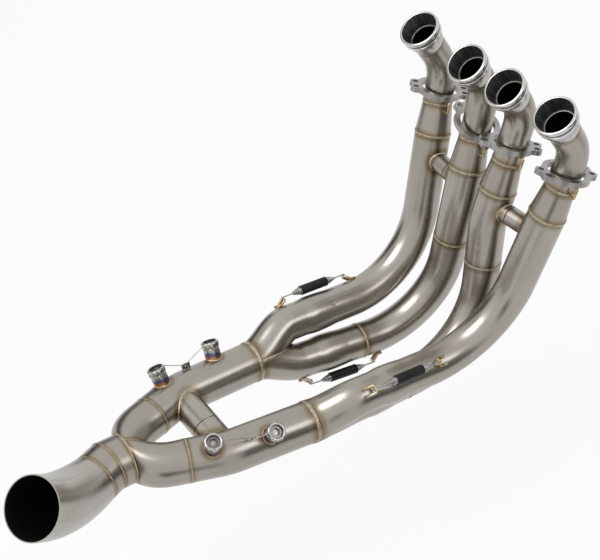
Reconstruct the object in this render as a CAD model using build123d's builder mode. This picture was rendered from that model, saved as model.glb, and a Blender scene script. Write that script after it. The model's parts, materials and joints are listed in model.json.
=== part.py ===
from build123d import *

import os
from math import cos, radians, sin, tan

# Four-into-two-into-one exhaust header for an in-line four, in millimetres.
# +X is forward, +Y is the left side, +Z is up.
# The origin lies midway between the mouths of the two outer port spigots.

# Port row
outer_port_y = 115.0
inner_port_ahead = 3.0
inner_port_y = 32.5
inner_port_drop = 7.5
outer_port_fall = 55.0
inner_port_fall = 50.0

# Tube sizes
wall = 1.2
elbow_od = 36.0
primary_od = 44.5
secondary_od = 50.0
balance_od = 36.0
crossover_od = 24.0
segment_od = 59.0
outlet_od = 70.5

# Port spigot, lengths along its axis from the mouth
spigot_lip_od = 49.0
spigot_lip_length = 5.0
spigot_groove_od = 45.0
spigot_groove_length = 4.0
spigot_shoulder_length = 3.5
spigot_neck_od = 43.0
spigot_neck_length = 5.0
spigot_length = 30.0
spigot_bore_depth = 19.5
spigot_seat_wall = 5.5
edge_break = 0.8

# Elbows and taper cones, lengths from the elbow's corner along the primary
outer_elbow_run = 74.0
inner_elbow_run = 54.0
outer_elbow_bend = 52.0
inner_elbow_bend = 44.0
outer_cone_start = 47.0
inner_cone_start = 65.0
cone_length = 40.0

# Primary corners on the left side; the right side is their mirror image
outer_foot_back = 18.0
outer_foot_y = 78.5
outer_foot_drop = 336.5
outer_foot_bend = 115.0
inner_knee_ahead = 8.0
inner_knee_y = 26.0
inner_knee_drop = 194.0
inner_knee_bend = 140.0
inner_foot_back = 7.5
inner_foot_y = 39.0
inner_foot_drop = 381.5
inner_foot_bend = 103.0
inner_seam_drop = 251.0

# Slip joints and two-into-one collectors
entry_back = 182.0
outer_entry_y = 77.0
outer_entry_drop = 326.0
inner_entry_y = 48.0
inner_entry_drop = 368.0
bell_length = 31.0
bell_neck_length = 5.0
slip_clearance = 0.15
slip_end_length = 56.0
slip_end_gap = 2.0
leg_straight = 28.0
collector_outlet_back = 274.0
collector_outlet_y = 61.5
collector_outlet_drop = 344.8
collector_stations = 4

# Secondaries, balance tube and crossovers
mitre_back = 379.0
mitre_y = 56.0
rear_seam_back = 422.0
rear_seam_y = 41.5
rear_drop = 338.5
crossover_drop = 173.0
crossover_seam = 0.6
balance_seam = 0.4
stub_step = 1.2

# Final Y, short segments and outlet bend
y_elbow_back = 448.0
y_elbow_y = 32.0
y_elbow_lean = 26.0
merge_back = 478.0
merge_drop = 338.0
segment_length = 21.5
segment_heading = 22.0
outlet_rise = 42.0
outlet_bend = 129.0
outlet_stations = 4
outlet_lip = 10.0

# Loose port flanges
flange_thickness = 6.0
flange_ring_od = 57.0
flange_hole_d = 44.5
flange_hole_span = 60.0
flange_hole_gap = 14.4
flange_hole_size = 6.6
flange_lobe_r = 6.4
flange_notch = 2.4
flange_waist_r = 4.0
flange_gap = 0.3
flange_turn = {1: -34.0, 2: -92.0, 3: -40.0, 4: -10.0}
flange_tilt = {1: 8.0, 2: 23.0, 3: -6.0, 4: -8.0}
flange_shift = {1: 0.0, 2: 0.0, 3: 3.0, 4: 0.0}

# Bent wire hooks
hook_wire_d = 3.4
stop_hook_reach = 9.5
stop_hook_top = {1: 6.4, 2: -0.3, 3: 16.3, 4: 14.6}
stop_hook_height = 13.5
weld_gap = 0.05
stop_hook_bend = 2.4
stop_hook_turn = -102.0
spring_hook_width = 9.0
spring_hook_length = 13.0
spring_hook_slope = 7.0
spring_hook_bend = 2.6

# Tension springs and rubber sleeves
outer_spring_turn = 50.0
inner_spring_turn = 225.0
spring_front = 37.0
spring_rear = 24.0
spring_coil_od = 9.2
spring_coil_length = 64.0
spring_wire_d = 1.8
spring_wrap = 2.75
spring_taper = 9.0
sleeve_od = 12.0
sleeve_length = 39.0
sleeve_clearance = 0.1
sleeve_lift = 2.4

# Sensor bosses, screw plugs and lockwire
front_plug_turn = {1: 63.0, -1: 52.0}
rear_plug_turn = {1: 63.0, -1: 66.0}
front_plug_reach = {1: 48.0, -1: 60.0}
rear_plug_reach = {1: 13.0, -1: 19.0}
boss_od = 19.5
boss_height = 12.5
boss_bore = 14.2
plug_thread_d = 14.0
plug_head_d = 21.5
plug_head_t = 8.0
plug_recess_d = 15.5
plug_recess_depth = 3.5
plug_socket_d = 9.5
plug_socket_depth = 6.0
tab_reach = 86.0
tab_hole_d = 2.6
tab_length = 11.0
tab_height = 7.0
tab_thickness = 1.6
lockwire_d = 0.9
lockwire_height = 4.5
lockwire_gap = 0.4

os.makedirs("parts", exist_ok=True)

# Corners that these lengths place on the left side
inner_port = Vector(inner_port_ahead, inner_port_y, -inner_port_drop)
outer_foot = Vector(-outer_foot_back, outer_foot_y, -outer_foot_drop)
inner_knee = Vector(inner_knee_ahead, inner_knee_y, -inner_knee_drop)
inner_foot = Vector(-inner_foot_back, inner_foot_y, -inner_foot_drop)
outer_entry = Vector(-entry_back, outer_entry_y, -outer_entry_drop)
inner_entry = Vector(-entry_back, inner_entry_y, -inner_entry_drop)
collector_outlet = Vector(-collector_outlet_back, collector_outlet_y, -collector_outlet_drop)
mitre = Vector(-mitre_back, mitre_y, -rear_drop)
rear_seam = Vector(-rear_seam_back, rear_seam_y, -rear_drop)
y_elbow = Vector(-y_elbow_back, y_elbow_y, -(rear_drop + merge_drop) / 2)
merge_point = Vector(-merge_back, 0, -merge_drop)


def sided(point, side):
    """The point as it stands on the left (+1) or right (-1) side of the header."""
    return Vector(point.X, point.Y * side, point.Z)


def unit(start, end):
    """Unit vector from one point to another."""
    return (end - start).normalized()


def across(direction):
    """A level unit vector square to a direction, for planes that must not twist."""
    return direction.cross(Vector(0, 0, 1)).normalized()


def square_plane(origin, direction):
    """Plane square to a direction, with its X axis level."""
    return Plane(origin=origin, x_dir=across(direction), z_dir=direction)


def along_plane(origin, direction):
    """Plane that holds an axis: local X runs along it, local Y is the radius."""
    return Plane(origin=origin, x_dir=direction, z_dir=across(direction))


def finish(builder, name):
    """Label a piece and write it."""
    builder.part.label = name
    export_step(builder.part, f"parts/{name}.step")


def straight_tube(start, end, od, thickness, cuts=()):
    """Open straight tube between two points, less any cuts."""
    with BuildPart() as tube:
        with BuildSketch(square_plane(start, unit(start, end))):
            Circle(od / 2)
            Circle(od / 2 - thickness, mode=Mode.SUBTRACT)
        extrude(amount=(end - start).length)
        for piece in cuts:
            add(piece, mode=Mode.SUBTRACT)
    return tube


def bent_tube(corners, bends, od, thickness, cuts=()):
    """Open tube along straight runs joined by tangent arcs, less any cuts."""
    with BuildPart() as tube:
        with BuildLine() as route:
            FilletPolyline(*corners, radius=bends)
        with BuildSketch(square_plane(route.line @ 0, route.line % 0)):
            Circle(od / 2)
            Circle(od / 2 - thickness, mode=Mode.SUBTRACT)
        sweep(path=route.line)
        for piece in cuts:
            add(piece, mode=Mode.SUBTRACT)
    return tube


def mitred_pair(start, corner, end, od, thickness, cuts=()):
    """Two straight tubes that meet in a mitre at a corner, less any cuts."""
    first = unit(start, corner)
    second = unit(corner, end)
    mitre_plane = square_plane(corner, (first + second).normalized())
    tubes = []
    for tail, head, keep in (
        (start, corner + first * od, Keep.BOTTOM),
        (corner - second * od, end, Keep.TOP),
    ):
        with BuildPart() as tube:
            with BuildSketch(square_plane(tail, unit(tail, head))):
                Circle(od / 2)
                Circle(od / 2 - thickness, mode=Mode.SUBTRACT)
            extrude(amount=(head - tail).length)
            split(bisect_by=mitre_plane, keep=keep)
            for piece in cuts:
                add(piece, mode=Mode.SUBTRACT)
        tubes.append(tube)
    return tubes


def group(solids, name):
    """Write like pieces together as one group of separate solids."""
    with BuildPart() as members:
        for solid in solids:
            add(solid)
    finish(members, name)


def rod(start, end, diameter):
    """Plain round bar between two points, kept apart from any open block."""
    return Solid.make_cylinder(diameter / 2, (end - start).length, square_plane(start, unit(start, end)))


def along_curve(start, start_dir, end, end_dir, share):
    """Point and direction on the smooth curve that leaves start and reaches end along given directions."""
    reach = (end - start).length
    tail = start_dir * reach
    head = end_dir * reach
    t = share
    point = (start * (2 * t**3 - 3 * t**2 + 1) + tail * (t**3 - 2 * t**2 + t)
             + end * (3 * t**2 - 2 * t**3) + head * (t**3 - t**2))
    slope = (start * (6 * t**2 - 6 * t) + tail * (3 * t**2 - 4 * t + 1)
             + end * (6 * t - 6 * t**2) + head * (3 * t**2 - 2 * t))
    return point, slope.normalized()


def swelling_leg(sections, radii, ruled):
    """Solid leg through round sections, each a centre and a direction, with a radius at each."""
    with BuildPart() as leg:
        for (point, direction), radius in zip(sections, radii):
            with BuildSketch(square_plane(point, direction)):
                Circle(radius)
        loft(ruled=ruled)
    return leg.part


def merging_leg(sections, ods, ruled, parting, keep):
    """One hollow leg of a merge, cut off along the plane where it is welded to its neighbour."""
    skin = swelling_leg(sections, [od / 2 for od in ods], ruled)
    bore = swelling_leg(sections, [od / 2 - wall for od in ods], ruled)
    with BuildPart() as leg:
        add(skin)
        add(bore, mode=Mode.SUBTRACT)
        split(bisect_by=parting, keep=keep)
    return leg.part


class Pipe:
    """Centreline of one primary, from its port to its slip joint."""

    def __init__(self, number):
        self.number = number
        self.side = 1 if number < 3 else -1
        self.outer = number in (1, 4)
        fall = radians(outer_port_fall if self.outer else inner_port_fall)
        port = Vector(0, outer_port_y, 0) if self.outer else inner_port
        run = outer_elbow_run if self.outer else inner_elbow_run
        self.port = sided(port, self.side)
        self.inward = Vector(cos(fall), 0, -sin(fall))
        self.elbow_start = self.port + self.inward * spigot_length
        self.elbow_corner = self.port + self.inward * run
        self.elbow_bend = outer_elbow_bend if self.outer else inner_elbow_bend
        self.foot = sided(outer_foot if self.outer else inner_foot, self.side)
        self.knee = self.foot if self.outer else sided(inner_knee, self.side)
        self.down = unit(self.elbow_corner, self.knee)
        self.entry = sided(outer_entry if self.outer else inner_entry, self.side)
        self.rearward = unit(self.foot, self.entry)
        self.cone_start = self.below(outer_cone_start if self.outer else inner_cone_start)
        self.cone_end = self.cone_start + self.down * cone_length
        self.bell_mouth = self.entry - self.rearward * bell_length
        self.slip_end = self.entry - self.rearward * slip_end_gap
        turn = outer_spring_turn if self.outer else inner_spring_turn
        self.spring_out = self.around_run(turn)

    def below(self, distance):
        """Point on the primary, this far below the elbow's corner."""
        return self.elbow_corner + self.down * distance

    def at_height(self, height):
        """Point on the upper primary at a height."""
        return self.below((height - self.elbow_corner.Z) / self.down.Z)

    def around_run(self, turn):
        """Unit vector square to the lower run, turned from outboard towards up."""
        level = across(self.rearward)
        upward = level.cross(self.rearward)
        return level * self.side * cos(radians(turn)) + upward * sin(radians(turn))


def make_spigot(pipe):
    """Turned spigot: lip, groove, shoulder and neck, tapering to the elbow tube."""
    lip_r = spigot_lip_od / 2
    groove_r = spigot_groove_od / 2
    neck_r = spigot_neck_od / 2
    tube_r = elbow_od / 2
    seat_r = lip_r - spigot_seat_wall
    shoulder = spigot_lip_length + spigot_groove_length
    neck = shoulder + spigot_shoulder_length
    taper = neck + spigot_neck_length
    with BuildPart() as spigot:
        with BuildSketch(along_plane(pipe.port, pipe.inward)):
            with BuildLine():
                Polyline(
                    (0, seat_r + edge_break),
                    (0, lip_r - edge_break),
                    (edge_break, lip_r),
                    (spigot_lip_length - edge_break, lip_r),
                    (spigot_lip_length, groove_r),
                    (shoulder, groove_r),
                    (shoulder, lip_r - edge_break),
                    (neck, lip_r - edge_break),
                    (neck, neck_r),
                    (taper, neck_r),
                    (spigot_length, tube_r),
                    (spigot_length, tube_r - wall),
                    (spigot_bore_depth, tube_r - wall),
                    (spigot_bore_depth, seat_r),
                    (edge_break, seat_r),
                    close=True,
                )
            make_face()
        revolve(axis=Axis(pipe.port, pipe.inward))
    finish(spigot, f"port_spigot_{pipe.number}")


def make_elbow(pipe):
    """Bent tube from the spigot's neck to the taper cone."""
    corners = [pipe.elbow_start, pipe.elbow_corner, pipe.cone_start]
    elbow = bent_tube(corners, [pipe.elbow_bend], elbow_od, wall)
    finish(elbow, f"port_elbow_{pipe.number}")


def make_cone(pipe):
    """Taper cone from the elbow tube to the primary tube."""
    with BuildPart() as cone:
        with BuildSketch(along_plane(pipe.cone_start, pipe.down)):
            with BuildLine():
                Polyline(
                    (0, elbow_od / 2),
                    (cone_length, primary_od / 2),
                    (cone_length, primary_od / 2 - wall),
                    (0, elbow_od / 2 - wall),
                    close=True,
                )
            make_face()
        revolve(axis=Axis(pipe.cone_start, pipe.down))
    finish(cone, f"primary_cone_{pipe.number}")


def crossover_ends(side):
    """Axis points of the outer and inner primaries that a crossover joins."""
    outer = pipes[1 if side > 0 else 4].at_height(-crossover_drop)
    inner = pipes[2 if side > 0 else 3].at_height(-crossover_drop)
    return outer, inner


def make_outer_primary(pipe):
    """One tube from the taper cone round the foot bend to the slip joint."""
    corners = [pipe.cone_end, pipe.foot, pipe.slip_end]
    outer, inner = crossover_ends(pipe.side)
    port = rod(outer, inner, crossover_od - 2 * wall)
    primary = bent_tube(corners, [outer_foot_bend], primary_od, wall, [port])
    finish(primary, f"primary_tube_{pipe.number}")


def make_inner_primary(pipe):
    """Upper tube, lower tube and short slip end, welded in line."""
    lower = unit(pipe.knee, pipe.foot)
    seam = pipe.knee + lower * ((-inner_seam_drop - pipe.knee.Z) / lower.Z)
    slip_seam = pipe.slip_end - pipe.rearward * slip_end_length
    outer, inner = crossover_ends(pipe.side)
    port = rod(inner, outer, crossover_od - 2 * wall)
    corners = [pipe.cone_end, pipe.knee, seam]
    upper_tube = bent_tube(corners, [inner_knee_bend], primary_od, wall, [port])
    finish(upper_tube, f"primary_upper_{pipe.number}")
    lower_tube = bent_tube([seam, pipe.foot, slip_seam], [inner_foot_bend], primary_od, wall)
    finish(lower_tube, f"primary_lower_{pipe.number}")
    slip_tube = straight_tube(slip_seam, pipe.slip_end, primary_od, wall)
    finish(slip_tube, f"slip_end_{pipe.number}")


def make_slip_pair(start, end, seam, start_rod, end_rod, od, names):
    """Cross tube of two stubs: the first slides into the second at a seam."""
    direction = unit(start, end)
    length = (end - start).length
    lip = start + direction * (length * seam)
    stub_od = od - 2 * stub_step
    overlap = lip + direction * (od / 4)
    with BuildPart() as outer_stub:
        with BuildSketch(square_plane(start, direction)):
            Circle(od / 2)
            Circle(od / 2 - wall, mode=Mode.SUBTRACT)
        extrude(amount=length * seam)
        add(start_rod, mode=Mode.SUBTRACT)
    finish(outer_stub, names[0])
    with BuildPart() as inner_stub:
        with BuildSketch(square_plane(end, direction * -1)):
            Circle(od / 2)
            Circle(stub_od / 2 - wall, mode=Mode.SUBTRACT)
        extrude(amount=(end - lip).length - slip_clearance)
        with BuildSketch(square_plane(overlap, direction * -1)):
            Circle(stub_od / 2 - slip_clearance)
            Circle(stub_od / 2 - wall, mode=Mode.SUBTRACT)
        extrude(amount=od / 2)
        add(end_rod, mode=Mode.SUBTRACT)
    finish(inner_stub, names[1])


def make_crossover(side):
    """Crossover between an outer and an inner primary."""
    outer, inner = crossover_ends(side)
    outer_pipe = pipes[1 if side > 0 else 4]
    inner_pipe = pipes[2 if side > 0 else 3]
    outer_rod = rod(outer_pipe.cone_end, outer_pipe.foot, primary_od)
    inner_rod = rod(inner_pipe.cone_end, inner_pipe.knee, primary_od)
    names = [f"crossover_stub_{outer_pipe.number}", f"crossover_stub_{inner_pipe.number}"]
    make_slip_pair(outer, inner, crossover_seam, outer_rod, inner_rod, crossover_od, names)


def make_bell(pipe):
    """Belled mouth and straight neck of a collector leg, over the primary's slip end."""
    slip_r = primary_od / 2 + slip_clearance
    leg_r = primary_od / 2
    neck_start = bell_length - bell_neck_length
    total = bell_length + leg_straight
    with BuildPart() as bell:
        with BuildSketch(along_plane(pipe.bell_mouth, pipe.rearward)):
            with BuildLine():
                Polyline(
                    (0, slip_r),
                    (0, slip_r + wall),
                    (neck_start, slip_r + wall),
                    (bell_length, leg_r),
                    (total, leg_r),
                    (total, leg_r - wall),
                    (bell_length, leg_r - wall),
                    (bell_length, slip_r - wall),
                    (bell_length - slip_end_gap / 2, slip_r),
                    close=True,
                )
            make_face()
        revolve(axis=Axis(pipe.bell_mouth, pipe.rearward))
    return bell.part


def make_collector(side):
    """Two legs that merge into a secondary, parted along the weld between them."""
    outer_pipe = pipes[1 if side > 0 else 4]
    inner_pipe = pipes[2 if side > 0 else 3]
    outlet = sided(collector_outlet, side)
    onward = unit(outlet, sided(mitre, side))
    between = unit(inner_pipe.entry, outer_pipe.entry)
    parting = Plane(origin=outlet, x_dir=onward, z_dir=between - onward * between.dot(onward))
    shares = [k / (collector_stations - 1) for k in range(collector_stations)]
    ods = [primary_od + (secondary_od - primary_od) * share for share in shares]
    for pipe, keep in ((outer_pipe, Keep.TOP), (inner_pipe, Keep.BOTTOM)):
        start = pipe.entry + pipe.rearward * leg_straight
        sections = [along_curve(start, pipe.rearward, outlet, onward, share) for share in shares]
        leg = merging_leg(sections, ods, False, parting, keep)
        bell = make_bell(pipe)
        with BuildPart() as whole:
            add(leg)
            add(bell)
        finish(whole, f"collector_leg_{pipe.number}")


def secondary_points(side):
    """Collector outlet, mitre and rear seam of a secondary."""
    return [sided(point, side) for point in (collector_outlet, mitre, rear_seam)]


def plug_seats(side):
    """Places on a secondary's axis, and directions, of its two sensor plugs."""
    outlet, corner, seam = secondary_points(side)
    seats = []
    for start, end, reach, turn in (
        (outlet, corner, front_plug_reach[side], front_plug_turn[side]),
        (corner, seam, rear_plug_reach[side], rear_plug_turn[side]),
    ):
        direction = unit(start, end)
        level = across(direction)
        upward = level.cross(direction)
        out = level * side * cos(radians(turn)) + upward * sin(radians(turn))
        seats.append((start + direction * reach, out))
    return seats


def make_secondary(side, name):
    """Front and rear tube of a secondary, mitred where the balance tube joins."""
    cuts = [rod(sided(mitre, 1), sided(mitre, -1), balance_od - 2 * wall)]
    for seat, out in plug_seats(side):
        cuts.append(rod(seat, seat + out * secondary_od, boss_bore))
    front, rear = mitred_pair(*secondary_points(side), secondary_od, wall, cuts)
    finish(front, f"secondary_front_{name}")
    finish(rear, f"secondary_rear_{name}")


def secondary_bar(side):
    """Solid bar through a secondary, to shape what is welded to it."""
    outlet, corner, seam = secondary_points(side)
    past = corner + unit(outlet, corner) * secondary_od
    before = corner - unit(corner, seam) * secondary_od
    return rod(outlet, past, secondary_od) + rod(before, seam, secondary_od)


def make_balance_tube():
    """Balance tube between the secondaries, of two stubs with a slip seam."""
    right, left = sided(mitre, -1), sided(mitre, 1)
    names = ["balance_stub_right", "balance_stub_left"]
    make_slip_pair(right, left, balance_seam, secondary_bar(-1), secondary_bar(1), balance_od, names)


def make_final_y():
    """Two legs that merge into the outlet, mirror images welded along the middle plane."""
    outlet, corner, seam = secondary_points(1)
    lean = radians(y_elbow_lean)
    middle = Plane.XZ
    sections = [
        (seam, unit(corner, seam)),
        (y_elbow, Vector(-cos(lean), -sin(lean), 0)),
        (merge_point, backward),
    ]
    leg = merging_leg(sections, [secondary_od, secondary_od, segment_od], True, middle, Keep.BOTTOM)
    group([leg], "final_y_leg_left")
    group([mirror(leg, about=middle)], "final_y_leg_right")


def make_segments():
    """Two short segments behind the Y, the second one heading to the right."""
    front, rear = mitred_pair(merge_point, segment_joint, outlet_start, segment_od, wall)
    finish(front, "outlet_segment_front")
    finish(rear, "outlet_segment_rear")


def outlet_section(share):
    """Centre and direction of the outlet bend's centreline, this share of the way along."""
    turn = radians(outlet_rise * share)
    rise = Vector(0, 0, 1)
    centre = outlet_start + outlet_heading * outlet_bend * sin(turn) + rise * outlet_bend * (1 - cos(turn))
    return centre, outlet_heading * cos(turn) + rise * sin(turn)


def outlet_body(thickness):
    """Solid of the outlet bend that widens to a straight lip, less a thickness all round."""
    with BuildPart() as body:
        for k in range(outlet_stations):
            share = k / (outlet_stations - 1)
            od = segment_od + (outlet_od - segment_od) * share * (2 - share)
            with BuildSketch(square_plane(*outlet_section(share))):
                Circle(od / 2 - thickness)
        loft()
        with BuildSketch(square_plane(*outlet_section(1))):
            Circle(outlet_od / 2 - thickness)
        extrude(amount=outlet_lip)
    return body.part


def make_outlet():
    """Outlet bend, rising to the rear and widening to an open mouth."""
    skin = outlet_body(0)
    bore = outlet_body(wall)
    with BuildPart() as outlet:
        add(skin)
        add(bore, mode=Mode.SUBTRACT)
    finish(outlet, "outlet_bend")


def stop_hook_way(pipe):
    """Direction in which a flange stop hook stands out, square to its pipe."""
    heading = Vector(cos(radians(stop_hook_turn)), sin(radians(stop_hook_turn)), 0)
    return (heading - pipe.down * heading.dot(pipe.down)).normalized()


def flange_seat(pipe):
    """Middle plane of a loose flange that rests on its stop hook, tipped towards it or away."""
    upward = pipe.down * -1
    lean = stop_hook_way(pipe)
    tip = radians(flange_tilt[pipe.number])
    normal = upward * cos(tip) + lean * sin(tip)
    rest_r = flange_hole_d / 2
    hook_rise = stop_hook_top[pipe.number] + hook_wire_d / 2 + flange_gap
    if tip > 0:
        knuckle_r = stop_hook_bend + hook_wire_d / 2
        rest_r = elbow_od / 2 + stop_hook_reach - stop_hook_bend + knuckle_r * sin(tip)
        hook_rise -= knuckle_r * (1 - cos(tip))
    lift = hook_rise + flange_thickness / 2 / cos(tip) + rest_r * tan(tip)
    ears = Vector(cos(radians(flange_turn[pipe.number])), sin(radians(flange_turn[pipe.number])), 0)
    ears = ears - normal * ears.dot(normal)
    centre = pipe.cone_start + upward * lift + Vector(0, flange_shift[pipe.number], 0)
    return Plane(origin=centre, x_dir=ears, z_dir=normal)


def make_flange(pipe):
    """Loose port flange: a ring with two ears, each with two lobed holes."""
    lobes = [(x, y) for x in (-flange_hole_span / 2, flange_hole_span / 2)
             for y in (-flange_hole_gap / 2, flange_hole_gap / 2)]
    ring_r = flange_ring_od / 2
    with BuildSketch() as outline:
        Circle(ring_r)
        Rectangle(flange_hole_span + 2 * (flange_lobe_r - flange_notch), flange_hole_gap)
        with Locations(*lobes):
            Circle(flange_lobe_r)
        waist = [v for v in outline.vertices() if abs(v.center().length - ring_r) < edge_break / 10]
        fillet(waist, flange_waist_r)
        Circle(flange_hole_d / 2, mode=Mode.SUBTRACT)
        with Locations(*lobes):
            Circle(flange_hole_size / 2, mode=Mode.SUBTRACT)
    with BuildPart() as flange:
        with BuildSketch(flange_seat(pipe).offset(-flange_thickness / 2)):
            add(outline.sketch)
        extrude(amount=flange_thickness)
    finish(flange, f"port_flange_{pipe.number}")


def round_bar(corners, bend, diameter):
    """Solid round bar along straight runs with rounded corners."""
    with BuildPart() as bar:
        with BuildLine() as route:
            FilletPolyline(*corners, radius=[bend] * (len(corners) - 2))
        with BuildSketch(Plane(origin=route.line @ 0, z_dir=route.line % 0)):
            Circle(diameter / 2)
        sweep(path=route.line)
    return bar.part


def make_stop_hooks():
    """Bent wire hooks that keep the loose flanges up on the elbows."""
    cone_slope = (primary_od - elbow_od) / 2 / cone_length
    hooks = []
    for pipe in pipes.values():
        out = stop_hook_way(pipe)
        reach = elbow_od / 2 + stop_hook_reach
        ends = []
        for below in (-stop_hook_top[pipe.number], stop_hook_height - stop_hook_top[pipe.number]):
            skin_r = elbow_od / 2 + cone_slope * max(0, below + hook_wire_d / 2)
            arm = pipe.cone_start + pipe.down * below
            ends.append((arm + out * (skin_r + weld_gap), arm + out * reach))
        (top, top_corner), (foot, foot_corner) = ends
        hooks.append(round_bar([top, top_corner, foot_corner, foot], stop_hook_bend, hook_wire_d))
    group(hooks, "flange_stop_hooks")


def spring_axis_r():
    """Distance of a spring's axis from the pipe's axis, clear of the belled mouth."""
    bell_r = primary_od / 2 + slip_clearance + wall
    return bell_r + sleeve_od / 2 + sleeve_lift


def spring_bars(pipe):
    """Axis points, beside the two hook loops that a spring is stretched between."""
    front = pipe.bell_mouth - pipe.rearward * spring_front
    rear = pipe.entry + pipe.rearward * spring_rear
    return front, rear


def make_spring_hooks():
    """Bent wire loops on the primaries and the collector legs, one for each spring end."""
    half = spring_hook_width / 2
    foot_r = ((primary_od / 2 + hook_wire_d / 2 + weld_gap) ** 2 - half**2) ** 0.5
    bar_r = spring_axis_r() - spring_wrap
    hooks = []
    for pipe in pipes.values():
        out = pipe.spring_out
        front, rear = spring_bars(pipe)
        for bar, ahead in ((front, pipe.rearward), (rear, pipe.rearward * -1)):
            aside = ahead.cross(out)
            base = bar - ahead * spring_hook_length
            knee = bar - ahead * spring_hook_slope
            corners = [
                base + aside * half + out * foot_r,
                knee + aside * half + out * foot_r,
                bar + aside * half + out * bar_r,
                bar - aside * half + out * bar_r,
                knee - aside * half + out * foot_r,
                base - aside * half + out * foot_r,
            ]
            hook = round_bar(corners, spring_hook_bend, hook_wire_d)
            if pipe.outer and bar is front:
                route = [pipe.cone_end, pipe.foot, pipe.slip_end]
                hook = hook - round_bar(route, outer_foot_bend, primary_od + weld_gap)
            hooks.append(hook)
    group(hooks, "spring_hooks")


def make_spring(pipe):
    """Tension spring with tapered ends and wire hooks, and the rubber sleeve over it."""
    axis_r = spring_axis_r()
    out = pipe.spring_out
    front, rear = spring_bars(pipe)
    middle = (front + rear) * 0.5 + out * axis_r
    coil_r = spring_coil_od / 2
    half = spring_coil_length / 2
    ends = []
    for bar, ahead in ((front, pipe.rearward * -1), (rear, pipe.rearward)):
        hook = bar + out * axis_r
        corners = [
            middle + ahead * half,
            hook + ahead * spring_wrap,
            hook + ahead * spring_wrap - out * spring_wrap * 2,
            hook - ahead * spring_wire_d - out * spring_wrap * 2,
        ]
        ends.append(round_bar(corners, spring_wrap - weld_gap, spring_wire_d))
    with BuildPart() as spring:
        with BuildSketch(Plane(origin=middle, x_dir=pipe.rearward, z_dir=pipe.rearward.cross(out))):
            with BuildLine():
                Polyline(
                    (-half, 0),
                    (-half, spring_wire_d),
                    (-half + spring_taper, coil_r),
                    (half - spring_taper, coil_r),
                    (half, spring_wire_d),
                    (half, 0),
                    close=True,
                )
            make_face()
        revolve(axis=Axis(middle, pipe.rearward))
        for end in ends:
            add(end)
    finish(spring, f"spring_{pipe.number}")
    rim = pipe.rearward * (sleeve_length / 2)
    thickness = sleeve_od / 2 - coil_r - sleeve_clearance
    sleeve = straight_tube(middle - rim, middle + rim, sleeve_od, thickness)
    finish(sleeve, f"spring_sleeve_{pipe.number}")


def make_boss(seat, out, bar):
    """Welded boss, shaped to the secondary's skin."""
    with BuildPart() as boss:
        with BuildSketch(square_plane(seat, out)):
            Circle(boss_od / 2)
            Circle(boss_bore / 2, mode=Mode.SUBTRACT)
        extrude(amount=secondary_od / 2 + boss_height)
        add(bar, mode=Mode.SUBTRACT)
    return boss.part


def make_plug(seat, out):
    """Screw plug with a recessed head and a hexagon socket."""
    base = seat + out * (secondary_od / 2 + boss_height)
    top_plane = square_plane(base + out * plug_head_t, out)
    with BuildPart() as plug:
        with BuildSketch(square_plane(base, out)):
            Circle(plug_head_d / 2)
        extrude(amount=plug_head_t)
        with BuildSketch(square_plane(base, out)):
            Circle(plug_thread_d / 2)
        extrude(amount=-boss_height - wall)
        with BuildSketch(top_plane):
            Circle(plug_recess_d / 2)
        extrude(amount=-plug_recess_depth, mode=Mode.SUBTRACT)
        with BuildSketch(top_plane):
            RegularPolygon(plug_socket_d / 2, 6)
        extrude(amount=-plug_socket_depth, mode=Mode.SUBTRACT)
    return plug.part


def make_sensor_fittings():
    """Bosses on both secondaries, each closed by a screw plug."""
    bosses = []
    plugs = []
    for side in (1, -1):
        bar = secondary_bar(side)
        for seat, out in plug_seats(side):
            bosses.append(make_boss(seat, out, bar))
            plugs.append(make_plug(seat, out))
    group(bosses, "sensor_bosses")
    group(plugs, "sensor_plugs")


def tab_place(side):
    """Foot, length direction and outward direction of a lockwire tab on a front secondary."""
    outlet, corner, seam = secondary_points(side)
    direction = unit(outlet, corner)
    level = across(direction)
    upward = level.cross(direction)
    turn = radians((front_plug_turn[side] + rear_plug_turn[side]) / 2)
    out = level * side * cos(turn) + upward * sin(turn)
    return outlet + direction * tab_reach + out * (secondary_od / 2 + weld_gap), direction, out


def make_tabs():
    """Small drilled tabs that the lockwires pass through."""
    with BuildPart() as tabs:
        for side in (1, -1):
            foot, direction, out = tab_place(side)
            aside = direction.cross(out)
            with BuildSketch(Plane(origin=foot - aside * (tab_thickness / 2), x_dir=direction, z_dir=aside)):
                with Locations((0, tab_height / 2)):
                    Rectangle(tab_length, tab_height)
                with Locations((0, tab_height - tab_hole_d)):
                    Circle(tab_hole_d / 2, mode=Mode.SUBTRACT)
            extrude(amount=tab_thickness)
    finish(tabs, "lockwire_tabs")


def make_lockwire(side, name):
    """Lockwire from one plug's head through the tab to the other plug's head."""
    foot, direction, out = tab_place(side)
    eye = foot + out * (tab_height - tab_hole_d)
    ends = []
    for seat, plug_out in plug_seats(side):
        head = seat + plug_out * (secondary_od / 2 + boss_height + lockwire_height)
        reach = eye - head
        reach = (reach - plug_out * reach.dot(plug_out)).normalized()
        ends.append(head + reach * (plug_head_d / 2 + lockwire_gap))
    through = direction.cross(out) * tab_thickness * -side
    wire = round_bar([ends[0], eye - through, eye + through, ends[1]], lockwire_d, lockwire_d)
    group([wire], f"lockwire_{name}")


backward = Vector(-1, 0, 0)
outlet_heading = Vector(-cos(radians(segment_heading)), -sin(radians(segment_heading)), 0)
segment_joint = merge_point + backward * segment_length
outlet_start = segment_joint + outlet_heading * segment_length
pipes = {number: Pipe(number) for number in (1, 2, 3, 4)}

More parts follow.
